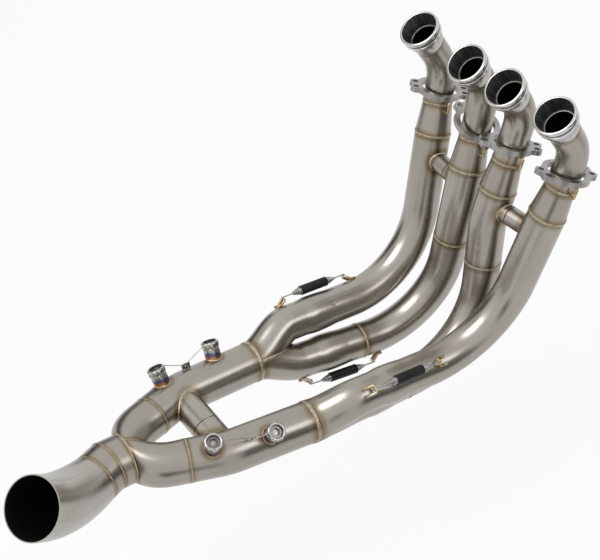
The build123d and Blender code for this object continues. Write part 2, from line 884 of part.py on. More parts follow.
for pipe in pipes.values():
    make_spigot(pipe)
    make_elbow(pipe)
    make_flange(pipe)
    make_cone(pipe)
    if pipe.outer:
        make_outer_primary(pipe)
    else:
        make_inner_primary(pipe)
    make_spring(pipe)
for side, name in ((1, "left"), (-1, "right")):
    make_crossover(side)
    make_collector(side)
    make_secondary(side, name)
    make_lockwire(side, name)
make_balance_tube()
make_final_y()
make_segments()
make_outlet()
make_stop_hooks()
make_spring_hooks()
make_sensor_fittings()
make_tabs()
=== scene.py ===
"""Looks for a motorcycle exhaust header: satin tubes, tinted welds, bright spigots, springs and fittings."""

import json
import logging
import math
from dataclasses import dataclass
from enum import Enum
from typing import Callable, Optional, Sequence, Union

import bmesh
import bpy
import numpy as np
from mathutils import Matrix, Vector, kdtree

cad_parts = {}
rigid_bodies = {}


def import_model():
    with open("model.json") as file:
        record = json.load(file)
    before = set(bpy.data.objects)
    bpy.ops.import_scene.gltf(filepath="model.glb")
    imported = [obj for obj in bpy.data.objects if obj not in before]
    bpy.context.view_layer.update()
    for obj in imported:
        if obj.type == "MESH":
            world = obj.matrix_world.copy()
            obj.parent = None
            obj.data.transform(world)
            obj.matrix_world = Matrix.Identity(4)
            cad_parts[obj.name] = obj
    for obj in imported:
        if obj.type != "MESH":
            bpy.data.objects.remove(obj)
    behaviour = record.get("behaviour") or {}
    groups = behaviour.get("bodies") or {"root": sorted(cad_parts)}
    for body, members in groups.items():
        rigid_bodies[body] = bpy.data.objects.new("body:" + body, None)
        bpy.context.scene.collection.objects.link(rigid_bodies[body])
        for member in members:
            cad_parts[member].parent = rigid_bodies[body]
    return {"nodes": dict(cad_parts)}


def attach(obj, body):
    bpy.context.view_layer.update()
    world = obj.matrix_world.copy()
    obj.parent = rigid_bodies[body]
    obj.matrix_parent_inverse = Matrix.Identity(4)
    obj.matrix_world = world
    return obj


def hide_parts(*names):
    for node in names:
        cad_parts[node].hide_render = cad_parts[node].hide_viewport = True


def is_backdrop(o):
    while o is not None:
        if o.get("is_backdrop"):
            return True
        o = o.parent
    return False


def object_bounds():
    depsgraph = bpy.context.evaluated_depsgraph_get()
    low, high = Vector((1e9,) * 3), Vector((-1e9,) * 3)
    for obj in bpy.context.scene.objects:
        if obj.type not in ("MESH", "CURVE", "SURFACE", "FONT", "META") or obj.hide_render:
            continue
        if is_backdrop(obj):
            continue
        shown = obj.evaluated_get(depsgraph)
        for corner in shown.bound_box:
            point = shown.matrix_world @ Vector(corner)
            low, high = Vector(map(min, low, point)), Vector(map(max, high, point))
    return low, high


log = logging.getLogger("header")

Array = np.ndarray
Colour = tuple[float, float, float, float]
Cut = Callable[[Array, Array], Array]
Material = bpy.types.Material
Object = bpy.types.Object
Number = Union["Value", float]

METRES = 0.001
UP = np.array([0.0, 0.0, 1.0])
# Points that lie closer than this, in metres, are one point
TOUCHING = 1e-7


def at(x: float, y: float, z: float) -> Array:
    """A point or direction in millimetres."""
    return np.array([x, y, z], dtype=float)


def unit(vector: Array) -> Array:
    """The vector at length one."""
    return vector / np.linalg.norm(vector)


def units(rows: Array) -> Array:
    """Each row at length one."""
    return rows / np.linalg.norm(rows, axis=1, keepdims=True)


def running(steps: Union[Array, Sequence[float]]) -> Array:
    """Running total of some steps, from 0 on."""
    return np.concatenate([[0.0], np.cumsum(steps)])


def eased(share: Array) -> Array:
    """A share from 0 to 1 that starts and ends gently."""
    return share**2 * (3 - 2 * share)


def hermite(t: Union[float, Array]) -> tuple[Union[float, Array], ...]:
    """Weights of a curve's first point, first slope, last point and last slope at a share of it."""
    return 2 * t**3 - 3 * t**2 + 1, t**3 - 2 * t**2 + t, 3 * t**2 - 2 * t**3, t**3 - t**2


def across(direction: Array) -> Array:
    """A level unit vector square to a direction."""
    return unit(np.cross(direction, UP))


def square_frame(direction: Array) -> tuple[Array, Array]:
    """A level unit vector square to a unit direction, and the one square to both."""
    flat = across(direction)
    return flat, np.cross(flat, direction)


class Side(Enum):
    """Left or right half of the header."""

    LEFT = 1
    RIGHT = -1

    def place(self, point: Array) -> Array:
        """A left-hand point as it stands on this side."""
        return point * np.array([1.0, float(self.value), 1.0])

    def outboard(self, direction: Array, turn: float) -> Array:
        """Unit vector square to a tube on this side, turned by some degrees from outboard towards up."""
        (flat, upward), angle = square_frame(direction), math.radians(turn)
        return flat * self.value * math.cos(angle) + upward * math.sin(angle)

    @property
    def word(self) -> str:
        """The side's name in lower case."""
        return self.name.lower()


@dataclass(frozen=True)
class TubeSizes:
    """Tube diameters and places that the whole header shares, in millimetres."""

    wall: float = 1.2
    elbow_od: float = 36.0
    primary_od: float = 44.5
    secondary_od: float = 50.0
    balance_od: float = 36.0
    crossover_od: float = 24.0
    segment_od: float = 59.0
    outlet_od: float = 70.5
    slip_clearance: float = 0.15
    facets: int = 64
    weld_points: int = 180
    pitch: float = 3.5

    @property
    def bell_radius(self) -> float:
        """Outside radius of a collector's bell, which takes a primary with its clearance."""
        return self.primary_od / 2 + self.slip_clearance + self.wall


SIZES = TubeSizes()


@dataclass(frozen=True)
class PrimaryPlan:
    """Left-hand places, bends and runs of one kind of primary, in millimetres and degrees."""

    port: Array
    port_fall: float
    elbow_run: float
    elbow_bend: float
    elbow_end: float
    knee: Optional[Array]
    foot: Array
    foot_bend: float
    entry: Array
    spring_turn: float


OUTER_PLAN = PrimaryPlan(
    port=at(0, 115, 0), port_fall=55.0, elbow_run=74.0, elbow_bend=52.0, elbow_end=47.0, knee=None,
    foot=at(-18, 78.5, -336.5), foot_bend=115.0, entry=at(-182, 77, -326), spring_turn=50.0,
)
INNER_PLAN = PrimaryPlan(
    port=at(3, 32.5, -7.5), port_fall=50.0, elbow_run=54.0, elbow_bend=44.0, elbow_end=65.0,
    knee=at(8, 26, -194), foot=at(-7.5, 39, -381.5), foot_bend=103.0, entry=at(-182, 48, -368),
    spring_turn=225.0,
)


@dataclass
class Primary:
    """Centreline of one primary, from its port to its slip joint."""

    number: int
    spigot_length: float = 30.0
    cone_length: float = 40.0
    bell_length: float = 31.0
    slip_end_gap: float = 2.0
    slip_length: float = 56.0
    knee_bend: float = 140.0
    seam_height: float = -251.0

    def __post_init__(self) -> None:
        """Work out the corners from the plan and the side."""
        self.side = Side.LEFT if self.number < 3 else Side.RIGHT
        self.outer = self.number in (1, 4)
        plan = OUTER_PLAN if self.outer else INNER_PLAN
        fall = math.radians(plan.port_fall)
        self.port = self.side.place(plan.port)
        self.inward = at(math.cos(fall), 0, -math.sin(fall))
        self.elbow_start = self.port + self.inward * self.spigot_length
        self.elbow_corner = self.port + self.inward * plan.elbow_run
        self.elbow_bend = plan.elbow_bend
        self.foot = self.side.place(plan.foot)
        self.foot_bend = plan.foot_bend
        self.knee = self.foot if plan.knee is None else self.side.place(plan.knee)
        self.down = unit(self.knee - self.elbow_corner)
        self.entry = self.side.place(plan.entry)
        self.rearward = unit(self.entry - self.foot)
        self.cone_start = self.elbow_corner + self.down * plan.elbow_end
        self.cone_end = self.cone_start + self.down * self.cone_length
        self.bell_mouth = self.entry - self.rearward * self.bell_length
        self.slip_end = self.entry - self.rearward * self.slip_end_gap
        self.slip_seam = self.slip_end - self.rearward * self.slip_length
        lower = self.down if self.outer else unit(self.foot - self.knee)
        self.seam = self.knee + lower * ((self.seam_height - self.knee[2]) / lower[2])
        self.spring_out = self.side.outboard(self.rearward, plan.spring_turn)

    def at_height(self, height: float) -> Array:
        """Point on the upper primary at a height."""
        return self.elbow_corner + self.down * ((height - self.elbow_corner[2]) / self.down[2])


PRIMARIES = {number: Primary(number) for number in (1, 2, 3, 4)}


@dataclass(frozen=True)
class RearPlan:
    """Left-hand places of the collectors, secondaries, Y and outlet, in millimetres."""

    collector_outlet: Array
    mitre: Array
    rear_seam: Array
    y_elbow: Array
    merge: Array
    y_lean: float = 26.0
    leg_straight: float = 28.0
    segment_length: float = 21.5
    heading_turn: float = 22.0
    outlet_rise: float = 42.0
    outlet_bend: float = 129.0
    outlet_lip: float = 10.0
    crossover_height: float = -173.0
    crossover_seam: float = 0.6
    balance_seam: float = 0.4

    @property
    def backward(self) -> Array:
        """Direction in which the Y's legs merge."""
        return at(-1, 0, 0)

    @property
    def heading(self) -> Array:
        """Direction of the second segment, to the right of straight back."""
        turn = math.radians(self.heading_turn)
        return at(-math.cos(turn), -math.sin(turn), 0)

    @property
    def joint(self) -> Array:
        """Mitre between the two segments."""
        return self.merge + self.backward * self.segment_length

    @property
    def outlet_start(self) -> Array:
        """End of the second segment, where the outlet bend starts."""
        return self.joint + self.heading * self.segment_length

    def secondary(self, side: Side) -> tuple[Array, Array, Array]:
        """Collector outlet, mitre and rear seam of one secondary."""
        return side.place(self.collector_outlet), side.place(self.mitre), side.place(self.rear_seam)


PLAN = RearPlan(
    collector_outlet=at(-274, 61.5, -344.8), mitre=at(-379, 56, -338.5), rear_seam=at(-422, 41.5, -338.5),
    y_elbow=at(-448, 32, -338.25), merge=at(-478, 0, -338),
)


@dataclass
class Route:
    """Sampled centreline: points and unit tangents."""

    points: Array
    tangents: Array

    @classmethod
    def straight(cls, start: Array, end: Array, pitch: float = SIZES.pitch) -> "Route":
        """Even samples on a straight line.

        Args:
            start: First point.
            end: Last point.
            pitch: Largest distance between samples.

        Returns:
            The route.
        """
        count = max(2, int(math.ceil(np.linalg.norm(end - start) / pitch)) + 1)
        shares = np.linspace(0.0, 1.0, count)[:, None]
        return cls(start + (end - start) * shares, np.tile(unit(end - start), (count, 1)))

    @classmethod
    def bent(cls, corners: Sequence[Array], bends: Sequence[float], pitch: float = SIZES.pitch) -> "Route":
        """Straight runs joined by tangent arcs.

        Args:
            corners: The ends and the corners between them.
            bends: Bend radius at each inner corner.
            pitch: Largest distance between samples.

        Returns:
            The route.
        """
        route: Optional[Route] = None
        start = corners[0]
        for before, corner, after, bend in zip(corners, corners[1:], corners[2:], bends):
            first, second = unit(corner - before), unit(after - corner)
            turn = math.acos(float(np.clip(first @ second, -1, 1)))
            reach = bend * math.tan(turn / 2)
            inward = unit(second - first * (first @ second))
            begin = corner - first * reach
            angles = np.linspace(0, turn, max(3, int(math.ceil(bend * turn / pitch)) + 1))[:, None]
            arc = cls(
                begin + first * bend * np.sin(angles) + inward * bend * (1 - np.cos(angles)),
                first * np.cos(angles) + inward * np.sin(angles),
            )
            run = cls.straight(start, begin, pitch)
            route = run.then(arc) if route is None else route.then(run).then(arc)
            start = corner + second * reach
        tail = cls.straight(start, corners[-1], pitch)
        return tail if route is None else route.then(tail)

    @classmethod
    def curve(cls, start: Array, start_dir: Array, end: Array, end_dir: Array, count: int) -> "Route":
        """Smooth curve that leaves one point and reaches another along given directions.

        Args:
            start: First point.
            start_dir: Unit direction at the first point.
            end: Last point.
            end_dir: Unit direction at the last point.
            count: Number of samples.

        Returns:
            The route.
        """
        reach = float(np.linalg.norm(end - start))
        tail, head = start_dir * reach, end_dir * reach
        t = np.linspace(0, 1, count)[:, None]
        first, leaving, last, arriving = hermite(t)
        points = start * first + tail * leaving + end * last + head * arriving
        slopes = (start * (6 * t**2 - 6 * t) + tail * (3 * t**2 - 4 * t + 1)
                  + end * (6 * t - 6 * t**2) + head * (3 * t**2 - 2 * t))
        return cls(points, units(slopes))

    def then(self, other: "Route") -> "Route":
        """This route followed by another that starts where it ends."""
        points = np.vstack([self.points, other.points[1:]])
        return Route(points, np.vstack([self.tangents, other.tangents[1:]]))

    def lengths(self) -> Array:
        """Distance of each sample from the start."""
        return running(np.linalg.norm(np.diff(self.points, axis=0), axis=1))

    def rings(self, radii: Array, facets: int) -> Array:
        """Circles square to the route that don't twist.

        Args:
            radii: Radius at each sample.
            facets: Points on each circle.

        Returns:
            Points, as samples by facets by three.
        """
        angles = np.linspace(0, 2 * math.pi, facets, endpoint=False)[:, None]
        normal = across(self.tangents[0])
        rows = []
        for point, tangent, radius in zip(self.points, self.tangents, radii):
            normal = unit(normal - tangent * (normal @ tangent))
            other = np.cross(tangent, normal)
            rows.append(point + radius * (np.cos(angles) * normal + np.sin(angles) * other))
        return np.array(rows)


def circle(centre: Array, axis: Array, radius: float, facets: int) -> Array:
    """Points of one circle that stands square to a unit axis."""
    return Route(centre[None, :], axis[None, :]).rings(np.array([radius]), facets)[0]


def onto_plane(origin: Array, normal: Array) -> Cut:
    """A cut that slides a tube's end ring along the tube onto a plane.

    Args:
        origin: A point of the plane.
        normal: The plane's normal.

    Returns:
        A function of ring points and tube direction.
    """
    def cut(points: Array, direction: Array) -> Array:
        """The ring points on the plane."""
        steps = ((origin - points) @ normal) / (direction @ normal)
        return points + steps[:, None] * direction
    return cut


def onto_round(axis_point: Array, axis: Array, radius: float) -> Cut:
    """A cut that slides a tube's end ring along the tube onto another round tube.

    Args:
        axis_point: A point on the other tube's axis.
        axis: Unit direction of that axis.
        radius: Outside radius of the other tube.

    Returns:
        A function of ring points and the direction away from the other tube.
    """
    def cut(points: Array, direction: Array) -> Array:
        """The ring points on the round skin, on the side that the direction points to.

        Args:
            points: The ring's points.
            direction: The tube's direction.

        Returns:
            The points on the skin.
        """
        offset = points - axis_point
        flat = offset - (offset @ axis)[:, None] * axis
        slope = direction - (direction @ axis) * axis
        a = slope @ slope
        b = flat @ slope
        c = np.einsum("ij,ij->i", flat, flat) - radius**2
        steps = (-b + np.sqrt(np.maximum(b * b - a * c, 0))) / a
        return points + steps[:, None] * direction
    return cut


def onto_secondary(side: Side) -> Cut:
    """A cut onto the mitred pair of tubes of one secondary.

    Args:
        side: Which secondary.

    Returns:
        A function of ring points and the direction away from the secondary.
    """
    outlet, corner, seam = PLAN.secondary(side)
    first, second = unit(corner - outlet), unit(seam - corner)
    parting = unit(first + second)
    front = onto_round(corner, first, SIZES.secondary_od / 2)
    rear = onto_round(corner, second, SIZES.secondary_od / 2)

    def cut(points: Array, direction: Array) -> Array:
        """The ring points on the front or the rear tube, as they lie."""
        on_front, on_rear = front(points, direction), rear(points, direction)
        return np.where((((on_front - corner) @ parting) < 0)[:, None], on_front, on_rear)
    return cut


@dataclass
class Seam:
    """Line of a weld: points on the skin and the skin's normals there."""

    points: Array
    normals: Array
    closed: bool = True
    spread: float = 1.0

    @classmethod
    def ring(cls, centre: Array, axis: Array, radius: float) -> "Seam":
        """Weld round a tube, square to its axis."""
        ring = circle(centre, axis, radius, SIZES.weld_points)
        return cls(ring, (ring - centre) / radius)

    @classmethod
    def cut_ring(cls, start: Array, direction: Array, radius: float, cut: Cut, flare: float = 0.6) -> "Seam":
        """Weld where a tube ends on a plane or a skin, with normals that lean along it by a flare."""
        ring = circle(start, direction, radius, SIZES.weld_points)
        return cls(cut(ring, direction), units((ring - start) / radius + direction * flare))

    @classmethod
    def crotch(cls, route: Route, radii: Array, origin: Array, normal: Array) -> "Seam":
        """Weld along the plane where a merging leg meets its neighbour.

        Args:
            route: Centreline of the leg.
            radii: Outside radius at each sample.
            origin: A point of the plane.
            normal: The plane's normal.

        Returns:
            The seam, from one side of the outlet round the crotch to the other.
        """
        sides: tuple[list, list] = ([], [])
        for point, tangent, radius in zip(route.points, route.tangents, radii):
            inward = normal - tangent * (normal @ tangent)
            slope = float(np.linalg.norm(inward))
            share = float((origin - point) @ normal) / (radius * slope)
            if abs(share) >= 1:
                continue
            inward = inward / slope
            other = np.cross(tangent, inward)
            height = math.sqrt(1 - share * share)
            for row, sign in zip(sides, (1, -1)):
                row.append(point + radius * (inward * share + other * height * sign))
        points = np.array(sides[0][::-1] + sides[1])
        middle = points.mean(axis=0)
        normals = points - middle
        normals -= np.outer(normals @ normal, normal)
        return cls(points, units(normals), False)

    @classmethod
    def parted(cls, rings: Array) -> "Seam":
        """Weld where a left-hand leg meets its mirror image on the middle plane.

        Args:
            rings: Points of the leg's skin, as rings by facets by three.

        Returns:
            The seam, from above the merge round the crotch to below it.
        """
        points = []
        for line in rings.transpose(1, 0, 2):
            past = np.nonzero(line[:, 1] < 0)[0]
            if len(past) and past[0] > 0:
                before, after = line[past[0] - 1], line[past[0]]
                points.append(before + (after - before) * before[1] / (before[1] - after[1]))
        spots = np.array(points)
        normals = (spots - spots.mean(axis=0)) * np.array([1.0, 0.0, 1.0])
        return cls(spots, units(normals), False)

    def wide(self, spread: float) -> "Seam":
        """The same weld with its bead and tint this many times as wide."""
        return Seam(self.points, self.normals, self.closed, spread)

    def beads(self, pitch: float) -> tuple[Array, Array, Array]:
        """Even places for weld ripples along the seam.

        Args:
            pitch: Distance between ripples.

        Returns:
            Points, tangents and normals.
        """
        points = np.vstack([self.points, self.points[:1]]) if self.closed else self.points
        normals = np.vstack([self.normals, self.normals[:1]]) if self.closed else self.normals
        reach = Route(points, points).lengths()
        spots = np.arange(0, reach[-1], pitch)

        def along(rows: Array, marks: Array) -> Array:
            """The rows at some distances along the seam."""
            return np.stack([np.interp(marks, reach, rows[:, k]) for k in range(3)], axis=1)

        ahead, behind = along(points, spots + pitch / 2), along(points, spots - pitch / 2)
        return along(points, spots), ahead - behind, along(normals, spots)


class Shader:
    """Node tree of one material or of the world, filled through expressions on its values."""

    def __init__(self, name: str, world: Optional[bpy.types.World] = None) -> None:
        """Start an empty tree.

        Args:
            name: Name of the new material.
            world: The world, where the tree is its tree and no material is made.
        """
        self.material = world or bpy.data.materials.new(name)
        self.material.use_nodes = True
        self.tree = self.material.node_tree
        self.tree.nodes.clear()

    def node(self, kind: str, settings: Optional[dict] = None, inputs: Optional[dict] = None,
             output: Union[int, str] = 0) -> "Value":
        """Add one node.

        Args:
            kind: The node's type.
            settings: Properties, with a ramp's colours under "stops".
            inputs: Values or links by socket name or number.
            output: The socket that is returned.

        Returns:
            The chosen output as a value.
        """
        made = self.tree.nodes.new(kind)
        for key, setting in (settings or {}).items():
            if key == "stops":
                ramp = made.color_ramp
                while len(ramp.elements) < len(setting):
                    ramp.elements.new(1.0)
                for element, (place, colour) in zip(ramp.elements, setting):
                    element.position = place
                    element.color = colour
            else:
                setattr(made, key, setting)
        for key, given in (inputs or {}).items():
            if isinstance(given, Value):
                self.tree.links.new(given.socket, made.inputs[key])
            else:
                made.inputs[key].default_value = given
        return Value(self, made.outputs[output] if len(made.outputs) else None)

    def coordinates(self) -> "Value":
        """Object coordinates, in metres."""
        return self.node("ShaderNodeTexCoord", output="Object")

    def unwrapped(self) -> "Value":
        """The piece's own unwrapped coordinates, in metres around and along."""
        return self.node("ShaderNodeTexCoord", output="UV")

    def attribute(self, name: str) -> "Value":
        """A number kept on the piece's points."""
        return self.node("ShaderNodeAttribute", {"attribute_name": name}, output="Fac")

    def noise(self, scale: float, detail: float = 2.0, rough: float = 0.5,
              place: Optional["Value"] = None) -> "Value":
        """Soft random values from 0 to 1, so many grains per metre, on the object or a given place."""
        return self.node("ShaderNodeTexNoise", None, {
            "Vector": place or self.coordinates(), "Scale": scale, "Detail": detail, "Roughness": rough,
        })

    def drawn_out(self, around: float, along: float, detail: float = 2.0, rough: float = 0.5) -> "Value":
        """Noise with so many grains per metre around a piece and so many along it."""
        stretch = {"Vector": self.unwrapped(), "Scale": (around, along, 1.0)}
        return self.noise(1.0, detail, rough, self.node("ShaderNodeMapping", None, stretch))

    def ramp(self, value: "Value", stops: Sequence[tuple[float, Colour]]) -> "Value":
        """Colours along a value from 0 to 1."""
        return self.node("ShaderNodeValToRGB", {"stops": stops}, {"Fac": value})

    def blend(self, share: Number, first: Union["Value", Colour], second: Union["Value", Colour]) -> "Value":
        """Two colours or links mixed, from the first at a share of 0 to the second at 1."""
        return self.node("ShaderNodeMix", {"data_type": "RGBA"}, {0: share, 6: first, 7: second}, 2)

    def bump(self, height: "Value", strength: float, distance: float) -> "Value":
        """Normals tilted by a height, where a height of 1 stands for a distance in metres."""
        tilt = {"Height": height, "Strength": strength, "Distance": distance}
        return self.node("ShaderNodeBump", None, tilt, "Normal")

    def metal(self, colour: "Value", rough: "Value", normal: "Value") -> Material:
        """Close the material as bare metal."""
        return self.surface(Base_Color=colour, Metallic=1.0, Roughness=rough, Normal=normal)

    def surface(self, **sockets: Union["Value", float, Colour]) -> Material:
        """Close the material with one surface shader.

        Args:
            **sockets: Values or links, with underscores for the spaces in a socket's name.

        Returns:
            The material.
        """
        inputs = {key.replace("_", " "): given for key, given in sockets.items()}
        skin = self.node("ShaderNodeBsdfPrincipled", None, inputs)
        self.node("ShaderNodeOutputMaterial", None, {"Surface": skin})
        return self.material


class Value:
    """A shader value that takes part in Python expressions."""

    def __init__(self, shader: Shader, socket: Optional[bpy.types.NodeSocket]) -> None:
        """Wrap one output socket of a tree."""
        self.shader = shader
        self.socket = socket

    def _math(self, operation: str, *terms: Number) -> "Value":
        """One Math node on up to three terms."""
        return self.shader.node("ShaderNodeMath", {"operation": operation}, dict(enumerate(terms)))

    def __add__(self, other: Number) -> "Value":
        """Sum."""
        return self._math("ADD", self, other)

    __radd__ = __add__

    def __sub__(self, other: Number) -> "Value":
        """Difference."""
        return self._math("SUBTRACT", self, other)

    def __rsub__(self, other: Number) -> "Value":
        """Difference from a number."""
        return self._math("SUBTRACT", other, self)

    def __mul__(self, other: Number) -> "Value":
        """Product."""
        return self._math("MULTIPLY", self, other)

    __rmul__ = __mul__

    def __truediv__(self, other: Number) -> "Value":
        """Quotient."""
        return self._math("DIVIDE", self, other)

    def held(self, low: float = 0.0, high: float = 1.0) -> "Value":
        """The value held between two limits."""
        return self._math("MINIMUM", self._math("MAXIMUM", self, low), high)

    def between(self, low: float, high: float) -> "Value":
        """0 at the low limit to 1 at the high one, eased."""
        return self.shader.node(
            "ShaderNodeMapRange", {"interpolation_type": "SMOOTHSTEP"},
            {"Value": self, "From Min": low, "From Max": high},
        )


def shade(red: float, green: float, blue: float) -> Colour:
    """An opaque colour."""
    return (red, green, blue, 1.0)


@dataclass(frozen=True)
class SatinTubeFinish:
    """Satin tube: brush marks round it, drawn lines along it, a tint beside the welds and painted shade on
    its inside.
    """

    name: str
    base: Colour = shade(0.385, 0.362, 0.325)
    drawn_line: Colour = shade(0.27, 0.25, 0.22)
    aged_patch: Colour = shade(0.31, 0.28, 0.24)
    # Near black of the painted shade on the inside
    painted_shade_tone: Colour = shade(0.03, 0.028, 0.026)
    brush_pale: float = 1.05
    brush_deep: float = 0.94
    tint_reach: float = 12.0
    roughness: float = 0.29
    heat: float = 0.85

    def material(self) -> Material:
        """Make the finish, which reads the distance from the nearest weld and the painted shade on the
        points.

        Returns:
            The material.
        """
        s = Shader(self.name)
        cloud = s.noise(16.0, 3.0)
        blotch = s.noise(70.0, 3.0)
        grain = s.noise(900.0)
        brush = s.drawn_out(28.0, 1000.0, 4.0, 0.65)
        drawn = s.drawn_out(240.0, 7.0, 3.0)
        reach = ((s.attribute("seam") + (blotch - 0.5) * 5.0) / self.tint_reach).held()
        # Mask of the painted shade kept on the points: inner skins and the cross stubs' groove ends
        inside = s.attribute("soot").between(0.25, 0.75)
        pale, deep = (shade(*(c * k for c in self.base[:3])) for k in (self.brush_pale, self.brush_deep))
        skin = s.blend(brush.between(0.3, 0.7), deep, pale)
        lined = s.blend(drawn.between(0.45, 0.75) * 0.35, skin, self.drawn_line)
        aged = s.blend(cloud.between(0.4, 0.75) * 0.45, lined, self.aged_patch)
        tint = s.ramp(reach, (
            (0.0, shade(0.14, 0.095, 0.05)),
            (0.3, shade(0.20, 0.145, 0.085)),
            (0.55, shade(0.32, 0.27, 0.20)),
            (1.0, self.base),
        ))
        warmth = (1.0 - reach).between(0.0, 0.65) * (0.4 + cloud * 0.9) * self.heat
        shown = s.blend(warmth.held(), aged, tint)
        # Painted shade, near black, where the mask is set
        colour = s.blend(inside, shown, self.painted_shade_tone)
        worn = (brush - 0.5) * 0.08 + (drawn - 0.5) * 0.1 + (cloud - 0.5) * 0.08
        rough = self.roughness + worn + (1.0 - reach) * 0.05 + inside * 0.3
        height = brush * 0.7 + grain * 0.3
        return s.metal(colour, rough, s.bump(height, 0.05, 0.0002))


@dataclass(frozen=True)
class BrightTurnedFinish:
    """Turned and polished metal with fine lathe rings, and painted shade, streaked grey to near black, in
    the bore, groove and neck.
    """

    name: str = "bright_turned"
    base: Colour = shade(0.58, 0.57, 0.55)
    straw: Colour = shade(0.40, 0.33, 0.22)
    # Painted shade in the bore, groove and neck: streaked greys, near black deepest in
    bore_dark: Colour = shade(0.08, 0.08, 0.08)
    bore_pale: Colour = shade(0.3, 0.3, 0.295)
    painted_shade_tone: Colour = shade(0.05, 0.05, 0.05)
    tint_reach: float = 9.0

    def material(self) -> Material:
        """Make the finish.

        Returns:
            The material.
        """
        s = Shader(self.name)
        rings = s.drawn_out(3.0, 700.0, 1.0)
        streaks = s.drawn_out(420.0, 25.0, 3.0)
        smear = s.noise(60.0, 3.0)
        reach = (s.attribute("seam") / self.tint_reach).held()
        # Mask of the painted shade kept on the points
        inside = s.attribute("soot").between(0.1, 0.9)
        turned = s.blend(reach.between(0.0, 0.7), self.straw, self.base)
        bore = s.blend(streaks.between(0.3, 0.7), self.bore_dark, self.bore_pale)
        shown = s.blend(s.attribute("soot").between(0.8, 0.95), bore, self.painted_shade_tone)
        rough = 0.14 + rings * 0.06 + smear * 0.05 + inside * 0.25
        return s.metal(s.blend(inside, turned, shown), rough, s.bump(rings, 0.03, 0.0001))


@dataclass(frozen=True)
class TurnedPlugFinish:
    """Turned steel plug with lathe rings, a bright rim and painted shade in its socket."""

    name: str = "turned_plug"
    base: Colour = shade(0.52, 0.51, 0.49)
    stained: Colour = shade(0.34, 0.33, 0.31)
    # Near black of the painted shade in the socket
    painted_shade_tone: Colour = shade(0.05, 0.048, 0.045)

    def material(self) -> Material:
        """Make the finish.

        Returns:
            The material.
        """
        s = Shader(self.name)
        rings = s.drawn_out(4.0, 2500.0, 2.0)
        stain = s.noise(260.0, 3.0)
        # Mask of the painted shade in the recess and the socket, kept on the points
        inside = s.attribute("soot").held()
        worn = s.blend(stain.between(0.35, 0.7), self.base, self.stained)
        colour = s.blend(inside, worn, self.painted_shade_tone)
        rough = 0.14 + rings * 0.12 + inside * 0.15
        return s.metal(colour, rough, s.bump(rings, 0.1, 0.0001))


@dataclass(frozen=True)
class BlastedPlateFinish:
    """Pale blasted plate with a fine even grain."""

    name: str = "blasted_plate"
    base: Colour = shade(0.38, 0.375, 0.36)
    stained: Colour = shade(0.26, 0.25, 0.235)

    def material(self) -> Material:
        """Make the finish.

        Returns:
            The material.
        """
        s = Shader(self.name)
        grain = s.noise(2600.0)
        stain = s.noise(45.0, 3.0)
        colour = s.blend(stain.between(0.3, 0.8), self.base, self.stained)
        rough = 0.24 + grain * 0.14
        return s.metal(colour, rough, s.bump(grain, 0.2, 0.00015))


@dataclass(frozen=True)
class TintedWireFinish:
    """Bent wire with straw to brown heat tint in patches."""

    name: str
    cool: Colour = shade(0.52, 0.48, 0.40)
    warm: Colour = shade(0.46, 0.31, 0.12)
    patch: float = 110.0

    def material(self) -> Material:
        """Make the finish.

        Returns:
            The material.
        """
        s = Shader(self.name)
        patches = s.noise(self.patch)
        scale = s.noise(1400.0)
        colour = s.blend(patches.between(0.4, 0.66), self.warm, self.cool)
        rough = 0.2 + scale * 0.16
        return s.metal(colour, rough, s.bump(scale, 0.1, 0.0001))


@dataclass(frozen=True)
class WeldFinish:
    """Weld ripples from pale straw to brown."""

    name: str = "weld_bead"

    def material(self) -> Material:
        """Make the finish.

        Returns:
            The material.
        """
        s = Shader(self.name)
        patches = s.noise(170.0, 3.0)
        spots = s.noise(520.0)
        colour = s.ramp(patches, (
            (0.25, shade(0.25, 0.185, 0.10)),
            (0.42, shade(0.37, 0.31, 0.205)),
            (0.6, shade(0.44, 0.395, 0.31)),
            (0.76, shade(0.25, 0.185, 0.12)),
        ))
        rough = 0.22 + spots * 0.2
        return s.metal(colour, rough, s.bump(spots, 0.15, 0.0001))


@dataclass(frozen=True)
class RubberFinish:
    """Matte black rubber with a fine grain and a slight bloom."""

    name: str = "black_rubber"
    base: Colour = shade(0.006, 0.006, 0.006)
    bloomed: Colour = shade(0.015, 0.015, 0.015)
    gloss: float = 0.3

    def material(self) -> Material:
        """Make the finish.

        Returns:
            The material.
        """
        s = Shader(self.name)
        grain = s.noise(1800.0, 3.0)
        bloom = s.noise(70.0)
        colour = s.blend(bloom.between(0.45, 0.8), self.base, self.bloomed)
        rough = 0.42 + grain * 0.2
        return s.surface(
            Base_Color=colour, Metallic=0.0, Roughness=rough, Specular_IOR_Level=self.gloss,
            Normal=s.bump(grain, 0.25, 0.0002),
        )


